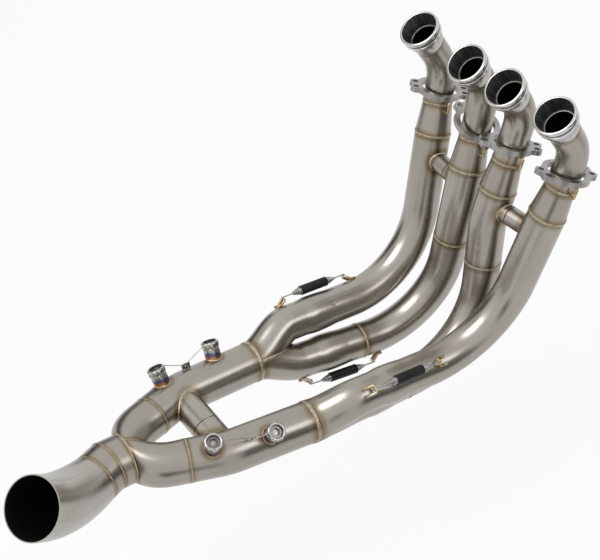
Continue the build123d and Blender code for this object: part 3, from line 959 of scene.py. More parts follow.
@dataclass(frozen=True)
class HeatedBossFinish:
    """Boss coloured by welding: straw at its foot, copper, purple and blue towards its top."""

    name: str = "heated_boss"
    tint_reach: float = 12.5

    def material(self) -> Material:
        """Make the finish, which reads the distance from the weld.

        Returns:
            The material.
        """
        s = Shader(self.name)
        blotch = s.noise(150.0, 3.0)
        grain = s.noise(1500.0)
        runs = s.drawn_out(160.0, 12.0, 2.0)
        reach = ((s.attribute("seam") + (blotch - 0.5) * 4.0 + (runs - 0.5) * 9.0) / self.tint_reach).held()
        colour = s.ramp(reach, (
            (0.0, shade(0.52, 0.40, 0.24)),
            (0.16, shade(0.50, 0.29, 0.13)),
            (0.36, shade(0.36, 0.16, 0.11)),
            (0.52, shade(0.19, 0.11, 0.17)),
            (0.68, shade(0.10, 0.11, 0.24)),
            (0.84, shade(0.22, 0.27, 0.36)),
            (1.0, shade(0.42, 0.41, 0.39)),
        ))
        rough = 0.22 + grain * 0.14
        return s.metal(colour, rough, s.bump(grain, 0.1, 0.0001))


def put(name: str, data: bpy.types.ID) -> Object:
    """Put a new object into the scene, at the origin.

    Args:
        name: Its name.
        data: Its mesh, lamp or camera.

    Returns:
        The object.
    """
    thing = bpy.data.objects.new(name, data)
    bpy.context.scene.collection.objects.link(thing)
    return thing


class HeaderMesh:
    """Mesh of one piece, gathered in millimetres and kept in metres."""

    def __init__(self, name: str) -> None:
        """Start an empty piece.

        Args:
            name: The piece's name.
        """
        self.name = name
        self.verts: list[Array] = []
        self.faces: list[tuple[int, ...]] = []
        self.uvs: list[tuple[float, float]] = []
        # Painted shade at each point, from 0 to 1
        self.soot: list[Array] = []
        self.count = 0

    def grid(self, rings: Array, along: Array, flip: bool, around: float,
             soot: Union[float, Array] = 0.0) -> int:
        """Add a skin over rings that close on themselves.

        Args:
            rings: Points, as rings by facets by three.
            along: Distance of each ring from the first one.
            flip: True for a skin that faces inwards.
            around: Length once round a ring.
            soot: Painted shade on the skin, from 0 to 1, one number or one for each ring.

        Returns:
            The number of the first point.
        """
        first = self.count
        rows, facets = rings.shape[:2]
        self.verts.append(rings.reshape(-1, 3))
        self.soot.append(np.broadcast_to(np.reshape(soot, (-1, 1)), (rows, facets)).reshape(-1))
        self.count += rows * facets
        for i in range(rows - 1):
            for j in range(facets):
                k = (j + 1) % facets
                corners = [(i, j, j), (i, k, j + 1), (i + 1, k, j + 1), (i + 1, j, j)]
                if flip:
                    corners.reverse()
                self.faces.append(tuple(first + a * facets + b for a, b, _ in corners))
                self.uvs.extend((c / facets * around * METRES, along[a] * METRES) for a, _, c in corners)
        return first

    def band(self, inner: int, outer: int, facets: int, flip: bool) -> None:
        """Close the gap between two rings of points with a flat rim.

        Args:
            inner: First point of one ring.
            outer: First point of the other.
            facets: Points on each ring.
            flip: True to turn the rim's faces round.
        """
        for j in range(facets):
            k = (j + 1) % facets
            corners = [inner + j, inner + k, outer + k, outer + j]
            self.faces.append(tuple(reversed(corners) if flip else corners))
            self.uvs.extend([(0.0, 0.0)] * 4)

    def walls(self, outer: Array, inner: Array, along: Array, dark: Union[float, Array] = 0.0) -> None:
        """Add an open tube between an outer and an inner skin.

        Args:
            outer: Points of the outer skin, as rings by facets by three.
            inner: Points of the inner skin.
            along: Distance of each ring from the first one.
            dark: Painted shade on the outer skin; the inner skin has full painted shade but for its rims.
        """
        facets = outer.shape[1]
        last = (len(along) - 1) * facets
        skins = []
        # Full painted shade on the inner skin; its end rings stay unshaded, so the rims keep the metal's own
        # colour
        painted_shade_tone = np.ones(len(along))
        painted_shade_tone[[0, -1]] = 0.0
        for rings, flip, soot in ((outer, False, dark), (inner, True, painted_shade_tone)):
            radius = np.linalg.norm(rings[0] - rings[0].mean(axis=0), axis=1).mean()
            skins.append(self.grid(rings, along, flip, 2 * math.pi * float(radius), soot))
        self.band(skins[1], skins[0], facets, False)
        self.band(skins[1] + last, skins[0] + last, facets, True)

    def shell(self, route: Route, outer: Array, inner: Array, start: Optional[Cut] = None,
              end: Optional[Cut] = None, facets: int = SIZES.facets,
              dark: Union[float, Array] = 0.0) -> None:
        """Add an open tube with a wall along a centreline.

        Args:
            route: The centreline.
            outer: Outside radius at each sample.
            inner: Inside radius at each sample.
            start: Cut for the first ring.
            end: Cut for the last ring.
            facets: Points round the tube.
            dark: Painted shade on the outer skin.
        """
        skins = []
        for radii in (outer, inner):
            rings = route.rings(radii, facets)
            if start is not None:
                rings[0] = start(rings[0], route.tangents[0])
            if end is not None:
                rings[-1] = end(rings[-1], route.tangents[-1])
            skins.append(rings)
        self.walls(skins[0], skins[1], route.lengths(), dark)

    def turned(self, origin: Array, axis: Array, profile: Sequence[tuple[float, float]], facets: int = 96,
               soot: Optional[Sequence[float]] = None) -> None:
        """Add a turned shape from a closed profile of distance and radius.

        Args:
            origin: Where distance 0 lies on the axis.
            axis: The axis.
            profile: Corners of the profile, each a distance and a radius.
            facets: Points round the axis.
            soot: Painted shade at each corner.
        """
        corners = list(profile) + [profile[0]]
        shades = list(soot or [0.0] * len(profile))
        centres = np.array([origin + axis * a for a, _ in corners])
        route = Route(centres, np.tile(axis, (len(corners), 1)))
        rings = route.rings(np.array([r for _, r in corners]), facets)
        along = running([math.dist(p, q) for p, q in zip(corners, corners[1:])])
        around = 2 * math.pi * float(np.mean([r for _, r in corners]))
        self.grid(rings, along, False, around, np.array(shades + shades[:1]))

    def bar(self, route: Route, radius: float, facets: int = 16) -> None:
        """Add a solid round wire with closed ends.

        Args:
            route: The centreline.
            radius: The wire's radius.
            facets: Points round the wire.
        """
        first = self.grid(route.rings(np.full(len(route.points), radius), facets), route.lengths(), False,
                          2 * math.pi * radius)
        last = first + (len(route.points) - 1) * facets
        for start, flip in ((first, True), (last, False)):
            ring = [start + j for j in range(facets)]
            self.faces.append(tuple(reversed(ring) if flip else ring))
            self.uvs.extend([(0.0, 0.0)] * facets)

    def piece(self, sharp: float = 35.0, merge: bool = False) -> Object:
        """Make the object.

        Args:
            sharp: Edges turned by more than this, in degrees, stay sharp.
            merge: True to weld points that lie on each other.

        Returns:
            The object, at the origin.
        """
        mesh = bpy.data.meshes.new(self.name)
        mesh.from_pydata((np.vstack(self.verts) * METRES).tolist(), [], self.faces)
        layer = mesh.uv_layers.new(name="UVMap")
        layer.data.foreach_set("uv", np.array(self.uvs, dtype=np.float32).ravel())
        # Painted shade at each point, by which the finishes darken the piece
        dark = mesh.attributes.new("soot", "FLOAT", "POINT")
        dark.data.foreach_set("value", np.concatenate(self.soot).astype(np.float32))
        if merge:
            work = bmesh.new()
            work.from_mesh(mesh)
            bmesh.ops.remove_doubles(work, verts=work.verts, dist=TOUCHING)
            work.to_mesh(mesh)
            work.free()
        mesh.update()
        mesh.shade_smooth()
        mesh.set_sharp_from_angle(angle=math.radians(sharp))
        return put(self.name, mesh)


def cut_away(thing: Object, origin: Array, normal: Array) -> None:
    """Cut off what lies beyond a plane and close the cut.

    Args:
        thing: The piece.
        origin: A point of the plane, in millimetres.
        normal: The side that goes.
    """
    work = bmesh.new()
    work.from_mesh(thing.data)
    geometry = work.verts[:] + work.edges[:] + work.faces[:]
    bmesh.ops.bisect_plane(
        work, geom=geometry, dist=TOUCHING, plane_co=Vector(origin * METRES), plane_no=Vector(normal),
        clear_outer=True,
    )
    rim = [edge for edge in work.edges if edge.is_boundary]
    for edge in rim:
        edge.smooth = False
    bmesh.ops.triangle_fill(work, use_beauty=True, edges=rim, normal=Vector(normal))
    work.to_mesh(thing.data)
    work.free()


class HeatMap:
    """Distances from the welds, kept on each piece's points for its finish to read."""

    def __init__(self, seams: Sequence[Seam], pitch: float = 1.5) -> None:
        """Gather the welds.

        Args:
            seams: All welds of the header.
            pitch: Distance between the places that stand for a weld.
        """
        rows = [seam.beads(pitch)[0] for seam in seams]
        points = np.vstack(rows)
        self.spread = np.concatenate([np.full(len(row), seam.spread) for row, seam in zip(rows, seams)])
        self.tree = kdtree.KDTree(len(points))
        for k, point in enumerate(points):
            self.tree.insert(Vector(point * METRES), k)
        self.tree.balance()

    def mark(self, thing: Object, far: float = 60.0) -> None:
        """Write the distance to the nearest weld, in millimetres for a weld of plain width, on each point.

        Args:
            thing: The piece.
            far: Largest distance that is kept.
        """
        layer = thing.data.attributes.new("seam", "FLOAT", "POINT")
        found = [self.tree.find(v.co) for v in thing.data.vertices]
        gaps = [min(gap / METRES / self.spread[k], far) for _, k, gap in found]
        layer.data.foreach_set("value", np.array(gaps, dtype=np.float32))


@dataclass
class Workshop:
    """What every sub-assembly needs to finish its pieces."""

    heat: HeatMap
    nodes: dict[str, Object]

    def dress(self, thing: Object, material: Material, slot: str, *replaced: str) -> None:
        """Give a piece its finish and tie it to the frame.

        Args:
            thing: The piece.
            material: Its finish.
            slot: The record's material slot; not used.
            *replaced: CAD nodes that it stands for.
        """
        thing.data.materials.clear()
        thing.data.materials.append(material)
        if "seam" not in thing.data.attributes:
            self.heat.mark(thing)
        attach(thing, "root")
        if replaced:
            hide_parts(*replaced)
        log.info("%s: %d faces", thing.name, len(thing.data.polygons))

    def tube(self, name: str, route: Route, ods: tuple[float, float], material: Material,
             slot: str, node: str, start: Optional[Cut] = None, end: Optional[Cut] = None) -> None:
        """Make one open tube whose diameter may change evenly.

        Args:
            name: The piece's name.
            route: The centreline.
            ods: Outside diameter at the start and at the end.
            material: The finish.
            slot: The record's material slot.
            node: The CAD node that it stands for.
            start: Cut for the first ring.
            end: Cut for the last ring.
        """
        along = route.lengths()
        outer = ods[0] / 2 + (ods[1] - ods[0]) / 2 * along / along[-1]
        mesh = HeaderMesh(name)
        mesh.shell(route, outer, outer - SIZES.wall, start, end)
        self.dress(mesh.piece(), material, slot, node)

    def coat(self, node: str, material: Material) -> None:
        """Give a CAD node its finish.

        Args:
            node: The node's name.
            material: Its finish.
        """
        thing = self.nodes[node]
        thing.data.materials.clear()
        thing.data.materials.append(material)
        log.info("%s keeps its solid", node)


@dataclass
class PortSpigots:
    """Turned spigots at the ports: lip, groove, shoulder, neck and a funnel of a bore."""

    lip_od: float = 49.0
    lip_length: float = 5.0
    groove_od: float = 45.0
    groove_length: float = 4.0
    shoulder_length: float = 3.5
    neck_od: float = 43.0
    neck_length: float = 5.0
    bore_depth: float = 19.5
    mouth_wall: float = 3.0
    seat_wall: float = 6.7
    edge: float = 0.8
    lip_round: float = 2.0
    round_steps: int = 5
    hair: float = 0.1
    # Painted shade in the groove, on the neck under the shoulder and on the bore's wall
    groove_shade: float = 0.75
    neck_shade: tuple[float, float, float] = (0.5, 0.4, 0.35)
    bore_shade: float = 0.75
    sharp: float = 25.0

    def rounded(self, away: float, radius: float, inwards: bool) -> list[tuple[float, float, float]]:
        """Corners of a rounded edge of the lip, in the profile's order.

        Args:
            away: How far the rounding reaches from the mouth.
            radius: Radius of the skin that it runs into.
            inwards: True for the bore's edge, False for the outer edge.

        Returns:
            Distance from the mouth, radius and painted shade of each corner.
        """
        turns = np.linspace(0, math.pi / 2, self.round_steps)
        if inwards:
            return [(away * (1 - math.sin(t)), radius + away * (1 - math.cos(t)), 0.0) for t in turns]
        return [(away * (1 - math.cos(t)), radius - away * (1 - math.sin(t)), 0.0) for t in turns]

    def profile(self, length: float) -> list[tuple[float, float, float]]:
        """Closed profile of a spigot.

        Args:
            length: Length of the spigot.

        Returns:
            Distance from the mouth, radius and painted shade of each corner.
        """
        lip, groove, neck = self.lip_od / 2, self.groove_od / 2, self.neck_od / 2
        mouth, seat = lip - self.mouth_wall, lip - self.seat_wall
        tube, bore = SIZES.elbow_od / 2, SIZES.elbow_od / 2 - SIZES.wall
        shoulder = self.lip_length + self.groove_length
        step = shoulder + self.shoulder_length
        e, hair, depth = self.edge, self.hair, self.bore_depth
        shaded_groove, painted_shade_tone = self.groove_shade, self.bore_shade
        above, middle, below = self.neck_shade
        # Painted shade in the groove, on the neck and down the bore, near black at the tube's end; the lip,
        # the shoulder and the seat step are left unshaded, so the seat step shows as a bright line
        return self.rounded(e, mouth, True) + self.rounded(self.lip_round, lip, False) + [
            (self.lip_length - e, lip, 0.0), (self.lip_length - e * 0.3, lip - e * 0.4, 0.0),
            (self.lip_length, groove, shaded_groove), (shoulder, groove, shaded_groove),
            (shoulder, lip - 2 * e, 0.0), (shoulder + e * 0.5, lip - e, 0.0),
            (step - e * 0.5, lip - e, 0.0), (step, lip - 2 * e, 0.0),
            (step, neck, above), (step + self.neck_length, neck, middle), (length, tube, below),
            (length, bore, 1.0), (depth + e, bore, 1.0), (depth + hair, bore, 0.0),
            (depth, bore + hair, 0.0), (depth, seat - hair, 0.0), (depth - hair, seat, painted_shade_tone),
            (2 * e, mouth - hair, painted_shade_tone),
        ]

    def build(self, shop: Workshop, material: Material) -> None:
        """Make the four spigots.

        Args:
            shop: Finishing help.
            material: Their finish.
        """
        for number, pipe in PRIMARIES.items():
            corners = self.profile(pipe.spigot_length)
            mesh = HeaderMesh(f"bright_spigot_{number}")
            mesh.turned(pipe.port, pipe.inward, [c[:2] for c in corners], soot=[c[2] for c in corners])
            shop.dress(mesh.piece(self.sharp, True), material, "spigot_polished", f"port_spigot_{number}")


@dataclass
class PrimaryTubes:
    """Elbows, taper cones and primary tubes."""

    elbow_pitch: float = 2.5
    spigot_weld: float = 0.55

    def runs(self, pipe: Primary) -> list[tuple[str, str, Route]]:
        """The tubes below a cone.

        Args:
            pipe: The primary.

        Returns:
            Piece's name, node's name and centreline of each.
        """
        if pipe.outer:
            whole = Route.bent([pipe.cone_end, pipe.foot, pipe.slip_end], [pipe.foot_bend])
            return [("primary", "primary_tube", whole)]
        upper = Route.bent([pipe.cone_end, pipe.knee, pipe.seam], [pipe.knee_bend])
        lower = Route.bent([pipe.seam, pipe.foot, pipe.slip_seam], [pipe.foot_bend])
        slip = Route.straight(pipe.slip_seam, pipe.slip_end)
        return [
            ("primary_top", "primary_upper", upper), ("primary_foot", "primary_lower", lower),
            ("slip_tube", "slip_end", slip),
        ]

    def build(self, shop: Workshop, port: Material, run: Material) -> None:
        """Make the tubes of all four primaries.

        Args:
            shop: Finishing help.
            port: Finish of elbows and cones.
            run: Finish of the primary tubes.
        """
        small, large = SIZES.elbow_od, SIZES.primary_od
        for n, p in PRIMARIES.items():
            bend = [p.elbow_start, p.elbow_corner, p.cone_start]
            elbow = Route.bent(bend, [p.elbow_bend], self.elbow_pitch)
            cone = Route.straight(p.cone_start, p.cone_end)
            shop.tube(f"elbow_{n}", elbow, (small, small), port, "port_tube", f"port_elbow_{n}")
            shop.tube(f"taper_{n}", cone, (small, large), port, "port_tube", f"primary_cone_{n}")
            for name, node, route in self.runs(p):
                shop.tube(f"{name}_{n}", route, (large, large), run, "primary_tube", f"{node}_{n}")

    def seams(self) -> list[Seam]:
        """Welds of spigots, cones and inner primaries.

        Returns:
            The welds.
        """
        small, large = SIZES.elbow_od / 2, SIZES.primary_od / 2
        found = []
        for p in PRIMARIES.values():
            found.append(Seam.ring(p.elbow_start, p.inward, small).wide(self.spigot_weld))
            found.append(Seam.ring(p.cone_start, p.down, small))
            found.append(Seam.ring(p.cone_end, p.down, large))
            if not p.outer:
                found.append(Seam.ring(p.seam, unit(p.foot - p.knee), large))
                found.append(Seam.ring(p.slip_seam, p.rearward, large))
        return found


@dataclass
class Span:
    """A cross tube: ends on two axes, cuts there, share at its slip seam, and pairs of piece and node."""

    ends: tuple[Array, ...]
    cuts: tuple[Cut, ...]
    share: float
    od: float
    names: tuple[tuple[str, str], ...]


@dataclass
class CrossTubes:
    """Crossovers and balance tube, each of two stubs that meet in a slip seam."""

    groove: float = 0.7
    foot_gap: float = 1.0
    pitch: float = 3.0
    weld: float = 1.25

    def spans(self) -> list[Span]:
        """The two crossovers and the balance tube.

        Returns:
            What the stubs of each are made from.
        """
        found = []
        for pair in ((1, 2), (4, 3)):
            pipes = [PRIMARIES[number] for number in pair]
            ends = tuple(p.at_height(PLAN.crossover_height) for p in pipes)
            cuts = tuple(onto_round(p.cone_end, p.down, SIZES.primary_od / 2) for p in pipes)
            names = tuple((f"crossover_{number}", f"crossover_stub_{number}") for number in pair)
            found.append(Span(ends, cuts, PLAN.crossover_seam, SIZES.crossover_od, names))
        sides = Side.RIGHT, Side.LEFT
        ends = tuple(side.place(PLAN.mitre) for side in sides)
        cuts = tuple(onto_secondary(side) for side in sides)
        names = tuple((f"balance_{side.word}", f"balance_stub_{side.word}") for side in sides)
        found.append(Span(ends, cuts, PLAN.balance_seam, SIZES.balance_od, names))
        return found

    def build(self, shop: Workshop, material: Material) -> None:
        """Make the stubs.

        Args:
            shop: Finishing help.
            material: Their finish.
        """
        for span in self.spans():
            lip = span.ends[0] + (span.ends[1] - span.ends[0]) * span.share
            for end, cut, (name, node) in zip(span.ends, span.cuts, span.names):
                way = unit(lip - end)
                stop = lip - way * (self.groove / 4)
                foot = circle(end, way, span.od / 2, SIZES.facets)
                clear = float(((cut(foot, way) - end) @ way).max()) + self.foot_gap
                marks = Route.straight(end + way * clear, stop - way * self.groove, self.pitch)
                points = np.vstack([end, marks.points, stop])
                route = Route(points, np.tile(way, (len(points), 1)))
                outer = np.full(len(points), span.od / 2)
                outer[-1] -= self.groove
                mesh = HeaderMesh(name)
                # Painted shade on the outer skin at the groove end, in the slip seam between the two stubs
                dark = np.zeros(len(points))
                dark[-1] = 1.0
                mesh.shell(route, outer, outer - SIZES.wall, start=cut, dark=dark)
                shop.dress(mesh.piece(), material, "cross_tube", node)

    def seams(self) -> list[Seam]:
        """Welds where the stubs stand on the tubes.

        Returns:
            The welds.
        """
        found = []
        for span in self.spans():
            way = unit(span.ends[1] - span.ends[0])
            for end, cut, off in zip(span.ends, span.cuts, (way, -way)):
                found.append(Seam.cut_ring(end, off, span.od / 2, cut).wide(self.weld))
        return found


@dataclass
class Collectors:
    """Belled collector legs that merge in pairs into the secondaries."""

    bell_neck: float = 5.0
    neck_length: float = 17.0
    mouth_length: float = 24.0
    mouth_drop: float = 1.0
    bell_pitch: float = 2.0
    stations: int = 26
    outlet_weld: float = 1.5
    crotch_weld: float = 1.2

    def legs(self, side: Side) -> list[tuple[Primary, Route, Array, Array]]:
        """The two legs of one collector.

        Args:
            side: Which collector.

        Returns:
            For each leg its primary, centreline, outside radii and the side of the parting plane that goes.
        """
        numbers = (1, 2) if side is Side.LEFT else (4, 3)
        outer, inner = (PRIMARIES[n] for n in numbers)
        outlet, corner, _ = PLAN.secondary(side)
        onward = unit(corner - outlet)
        between = unit(outer.entry - inner.entry)
        parting = unit(between - onward * (between @ onward))
        found = []
        for pipe, gone in ((outer, -parting), (inner, parting)):
            start = pipe.entry + pipe.rearward * PLAN.leg_straight
            bell, leg = SIZES.bell_radius, SIZES.primary_od / 2
            run = Route.straight(pipe.bell_mouth, start, self.bell_pitch)
            past = run.lengths() - np.linalg.norm(pipe.entry - pipe.bell_mouth) + self.bell_neck
            belled = bell + (leg - bell) * eased(np.clip(past / self.neck_length, 0, 1))
            curve = Route.curve(start, pipe.rearward, outlet, onward, self.stations)
            swell = np.linspace(leg, SIZES.secondary_od / 2, self.stations)
            route = run.then(curve)
            radii = np.concatenate([belled, swell[1:]])
            found.append((pipe, route, radii, gone))
        return found

    def build(self, shop: Workshop, material: Material) -> None:
        """Make the four legs.

        Args:
            shop: Finishing help.
            material: Their finish.
        """
        for side in Side:
            outlet = PLAN.secondary(side)[0]
            for pipe, route, radii, gone in self.legs(side):
                mesh = HeaderMesh(f"collector_{pipe.number}")
                left = np.clip(1 - route.lengths() / self.mouth_length, 0, 1)
                mesh.shell(route, radii - self.mouth_drop * left**2, radii - SIZES.wall)
                leg = mesh.piece()
                cut_away(leg, outlet, gone)
                shop.dress(leg, material, "collector_tube", f"collector_leg_{pipe.number}")

    def seams(self) -> list[Seam]:
        """Outlet welds and crotch welds.

        Returns:
            The welds.
        """
        found = []
        for side in Side:
            outlet, corner, _ = PLAN.secondary(side)
            ring = Seam.ring(outlet, unit(corner - outlet), SIZES.secondary_od / 2)
            found.append(ring.wide(self.outlet_weld))
            _, route, radii, gone = self.legs(side)[0]
            keep = slice(-self.stations, None)
            leg = Route(route.points[keep], route.tangents[keep])
            found.append(Seam.crotch(leg, radii[keep], outlet, gone).wide(self.crotch_weld))
        return found


CutTube = tuple[Route, Optional[Cut], Optional[Cut]]


@dataclass
class RearTubes:
    """Secondaries, final Y, short segments and outlet bend."""

    stations: int = 30
    secondary_bend: float = 95.0
    bend_pitch: float = 2.0
    mitre_gap: float = 1.0
    outlet_facets: int = 96
    rear_weld: float = 0.6
    merge_weld: float = 0.75
    segment_weld: float = 0.55

    def bent_pair(self, side: Side) -> list[Route]:
        """Front and rear tube of one secondary, which share the middle of a soft bend.

        Args:
            side: Which secondary.

        Returns:
            The two centrelines.
        """
        outlet, corner, seam = PLAN.secondary(side)
        whole = Route.bent([outlet, corner, seam], [self.secondary_bend], self.bend_pitch)
        middle = int(np.argmin(np.linalg.norm(whole.points - corner, axis=1)))
        parts = slice(None, middle + 1), slice(middle, None)
        return [Route(whole.points[part], whole.tangents[part]) for part in parts]

    def mitred(self, start: Array, corner: Array, end: Array, od: float) -> list[CutTube]:
        """Two straight tubes that meet in a mitre.

        Args:
            start: First end.
            corner: The mitre.
            end: Last end.
            od: Outside diameter.

        Returns:
            Route, start cut and end cut of each tube.
        """
        first, second = unit(corner - start), unit(end - corner)
        cut = onto_plane(corner, unit(first + second))
        lean = od / 2 * math.tan(math.acos(float(first @ second)) / 2) + self.mitre_gap
        near, far = corner - first * lean, corner + second * lean
        ahead = Route.straight(start, near).then(Route.straight(near, corner, math.inf))
        behind = Route.straight(corner, far, math.inf).then(Route.straight(far, end))
        return [(ahead, None, cut), (behind, cut, None)]

    def y_leg(self, side: Side, inset: float) -> Array:
        """Rings of one leg of the Y, from the rear seam through its elbow to the merge.

        Args:
            side: Which leg.
            inset: How far the rings lie inside the outer skin.

        Returns:
            Points, as rings by facets by three.
        """
        _, corner, seam = PLAN.secondary(side)
        heading = unit(seam - corner)
        lean = math.radians(PLAN.y_lean)
        centres = [seam, side.place(PLAN.y_elbow), PLAN.merge]
        ways = [heading, side.place(at(-math.cos(lean), -math.sin(lean), 0)), PLAN.backward]
        radii = [od / 2 - inset for od in (SIZES.secondary_od, SIZES.secondary_od, SIZES.segment_od)]
        keys = [circle(*key, SIZES.facets) for key in zip(centres, ways, radii)]
        first, second = (float(np.linalg.norm(b - a)) for a, b in zip(centres, centres[1:]))
        into, onward = (keys[1] - keys[0]) / first, (keys[2] - keys[1]) / second
        middle = (into * second + onward * first) / (first + second)
        slopes = [np.tile(heading, (SIZES.facets, 1)), middle, 2 * onward - middle]
        rows = []
        for k, reach in enumerate((first, second)):
            for t in np.linspace(0, 1, self.stations)[k:]:
                start, leaving, end, arriving = hermite(t)
                rows.append(keys[k] * start + slopes[k] * reach * leaving
                            + keys[k + 1] * end + slopes[k + 1] * reach * arriving)
        return np.array(rows)

    def outlet(self) -> tuple[Route, Array]:
        """The outlet bend with its straight lip.

        Returns:
            Centreline and outside radii.
        """
        shares = np.linspace(0, 1, self.stations)
        turns = np.radians(PLAN.outlet_rise) * shares[:, None]
        points = (PLAN.outlet_start + PLAN.heading * PLAN.outlet_bend * np.sin(turns)
                  + UP * PLAN.outlet_bend * (1 - np.cos(turns)))
        tangents = PLAN.heading * np.cos(turns) + UP * np.sin(turns)
        bend = Route(points, tangents)
        lip = Route.straight(points[-1], points[-1] + tangents[-1] * PLAN.outlet_lip)
        radii = SIZES.segment_od / 2 + (SIZES.outlet_od - SIZES.segment_od) / 2 * shares * (2 - shares)
        return bend.then(lip), np.concatenate([radii, np.full(len(lip.points) - 1, radii[-1])])

    def build(self, shop: Workshop, material: Material, last: Material) -> None:
        """Make the rear tubes.

        Args:
            shop: Finishing help.
            material: Finish of the secondaries, the Y and the segments.
            last: Finish of the outlet bend.
        """
        small, large = (SIZES.secondary_od, SIZES.secondary_od), (SIZES.segment_od, SIZES.segment_od)
        labels = ("front", "rear")
        for side in Side:
            for route, label in zip(self.bent_pair(side), labels):
                name, node = f"secondary_{side.word}_{label}", f"secondary_{label}_{side.word}"
                shop.tube(name, route, small, material, "collector_tube", node)
            mesh = HeaderMesh(f"y_leg_{side.word}")
            skin = self.y_leg(side, 0.0)
            centres = skin.mean(axis=1)
            mesh.walls(skin, self.y_leg(side, SIZES.wall), Route(centres, centres).lengths())
            leg = mesh.piece()
            cut_away(leg, PLAN.merge, at(0, -side.value, 0))
            shop.dress(leg, material, "outlet_tube", f"final_y_leg_{side.word}")
        pair = self.mitred(PLAN.merge, PLAN.joint, PLAN.outlet_start, SIZES.segment_od)
        for (route, start, end), label in zip(pair, labels):
            name, node = f"segment_{label}", f"outlet_segment_{label}"
            shop.tube(name, route, large, material, "outlet_tube", node, start, end)
        route, outer = self.outlet()
        mesh = HeaderMesh("outlet")
        mesh.shell(route, outer, outer - SIZES.wall, facets=self.outlet_facets)
        shop.dress(mesh.piece(), last, "outlet_tube", "outlet_bend")

    def seams(self) -> list[Seam]:
        """Ring, crotch and segment welds of the rear tubes.

        Returns:
            The welds.
        """
        found = []
        for side in Side:
            _, corner, seam = PLAN.secondary(side)
            found.append(Seam.ring(seam, unit(seam - corner), SIZES.secondary_od / 2).wide(self.rear_weld))
        found.append(Seam.parted(self.y_leg(Side.LEFT, 0.0)).wide(self.rear_weld))
        radius, narrow = SIZES.segment_od / 2, self.segment_weld
        found.append(Seam.ring(PLAN.merge, PLAN.backward, radius).wide(self.merge_weld))
        cut = onto_plane(PLAN.joint, unit(PLAN.backward + PLAN.heading))
        found.append(Seam.cut_ring(PLAN.joint, PLAN.backward, radius, cut, 0.0).wide(narrow))
        found.append(Seam.ring(PLAN.outlet_start, PLAN.heading, radius).wide(narrow))
        return found


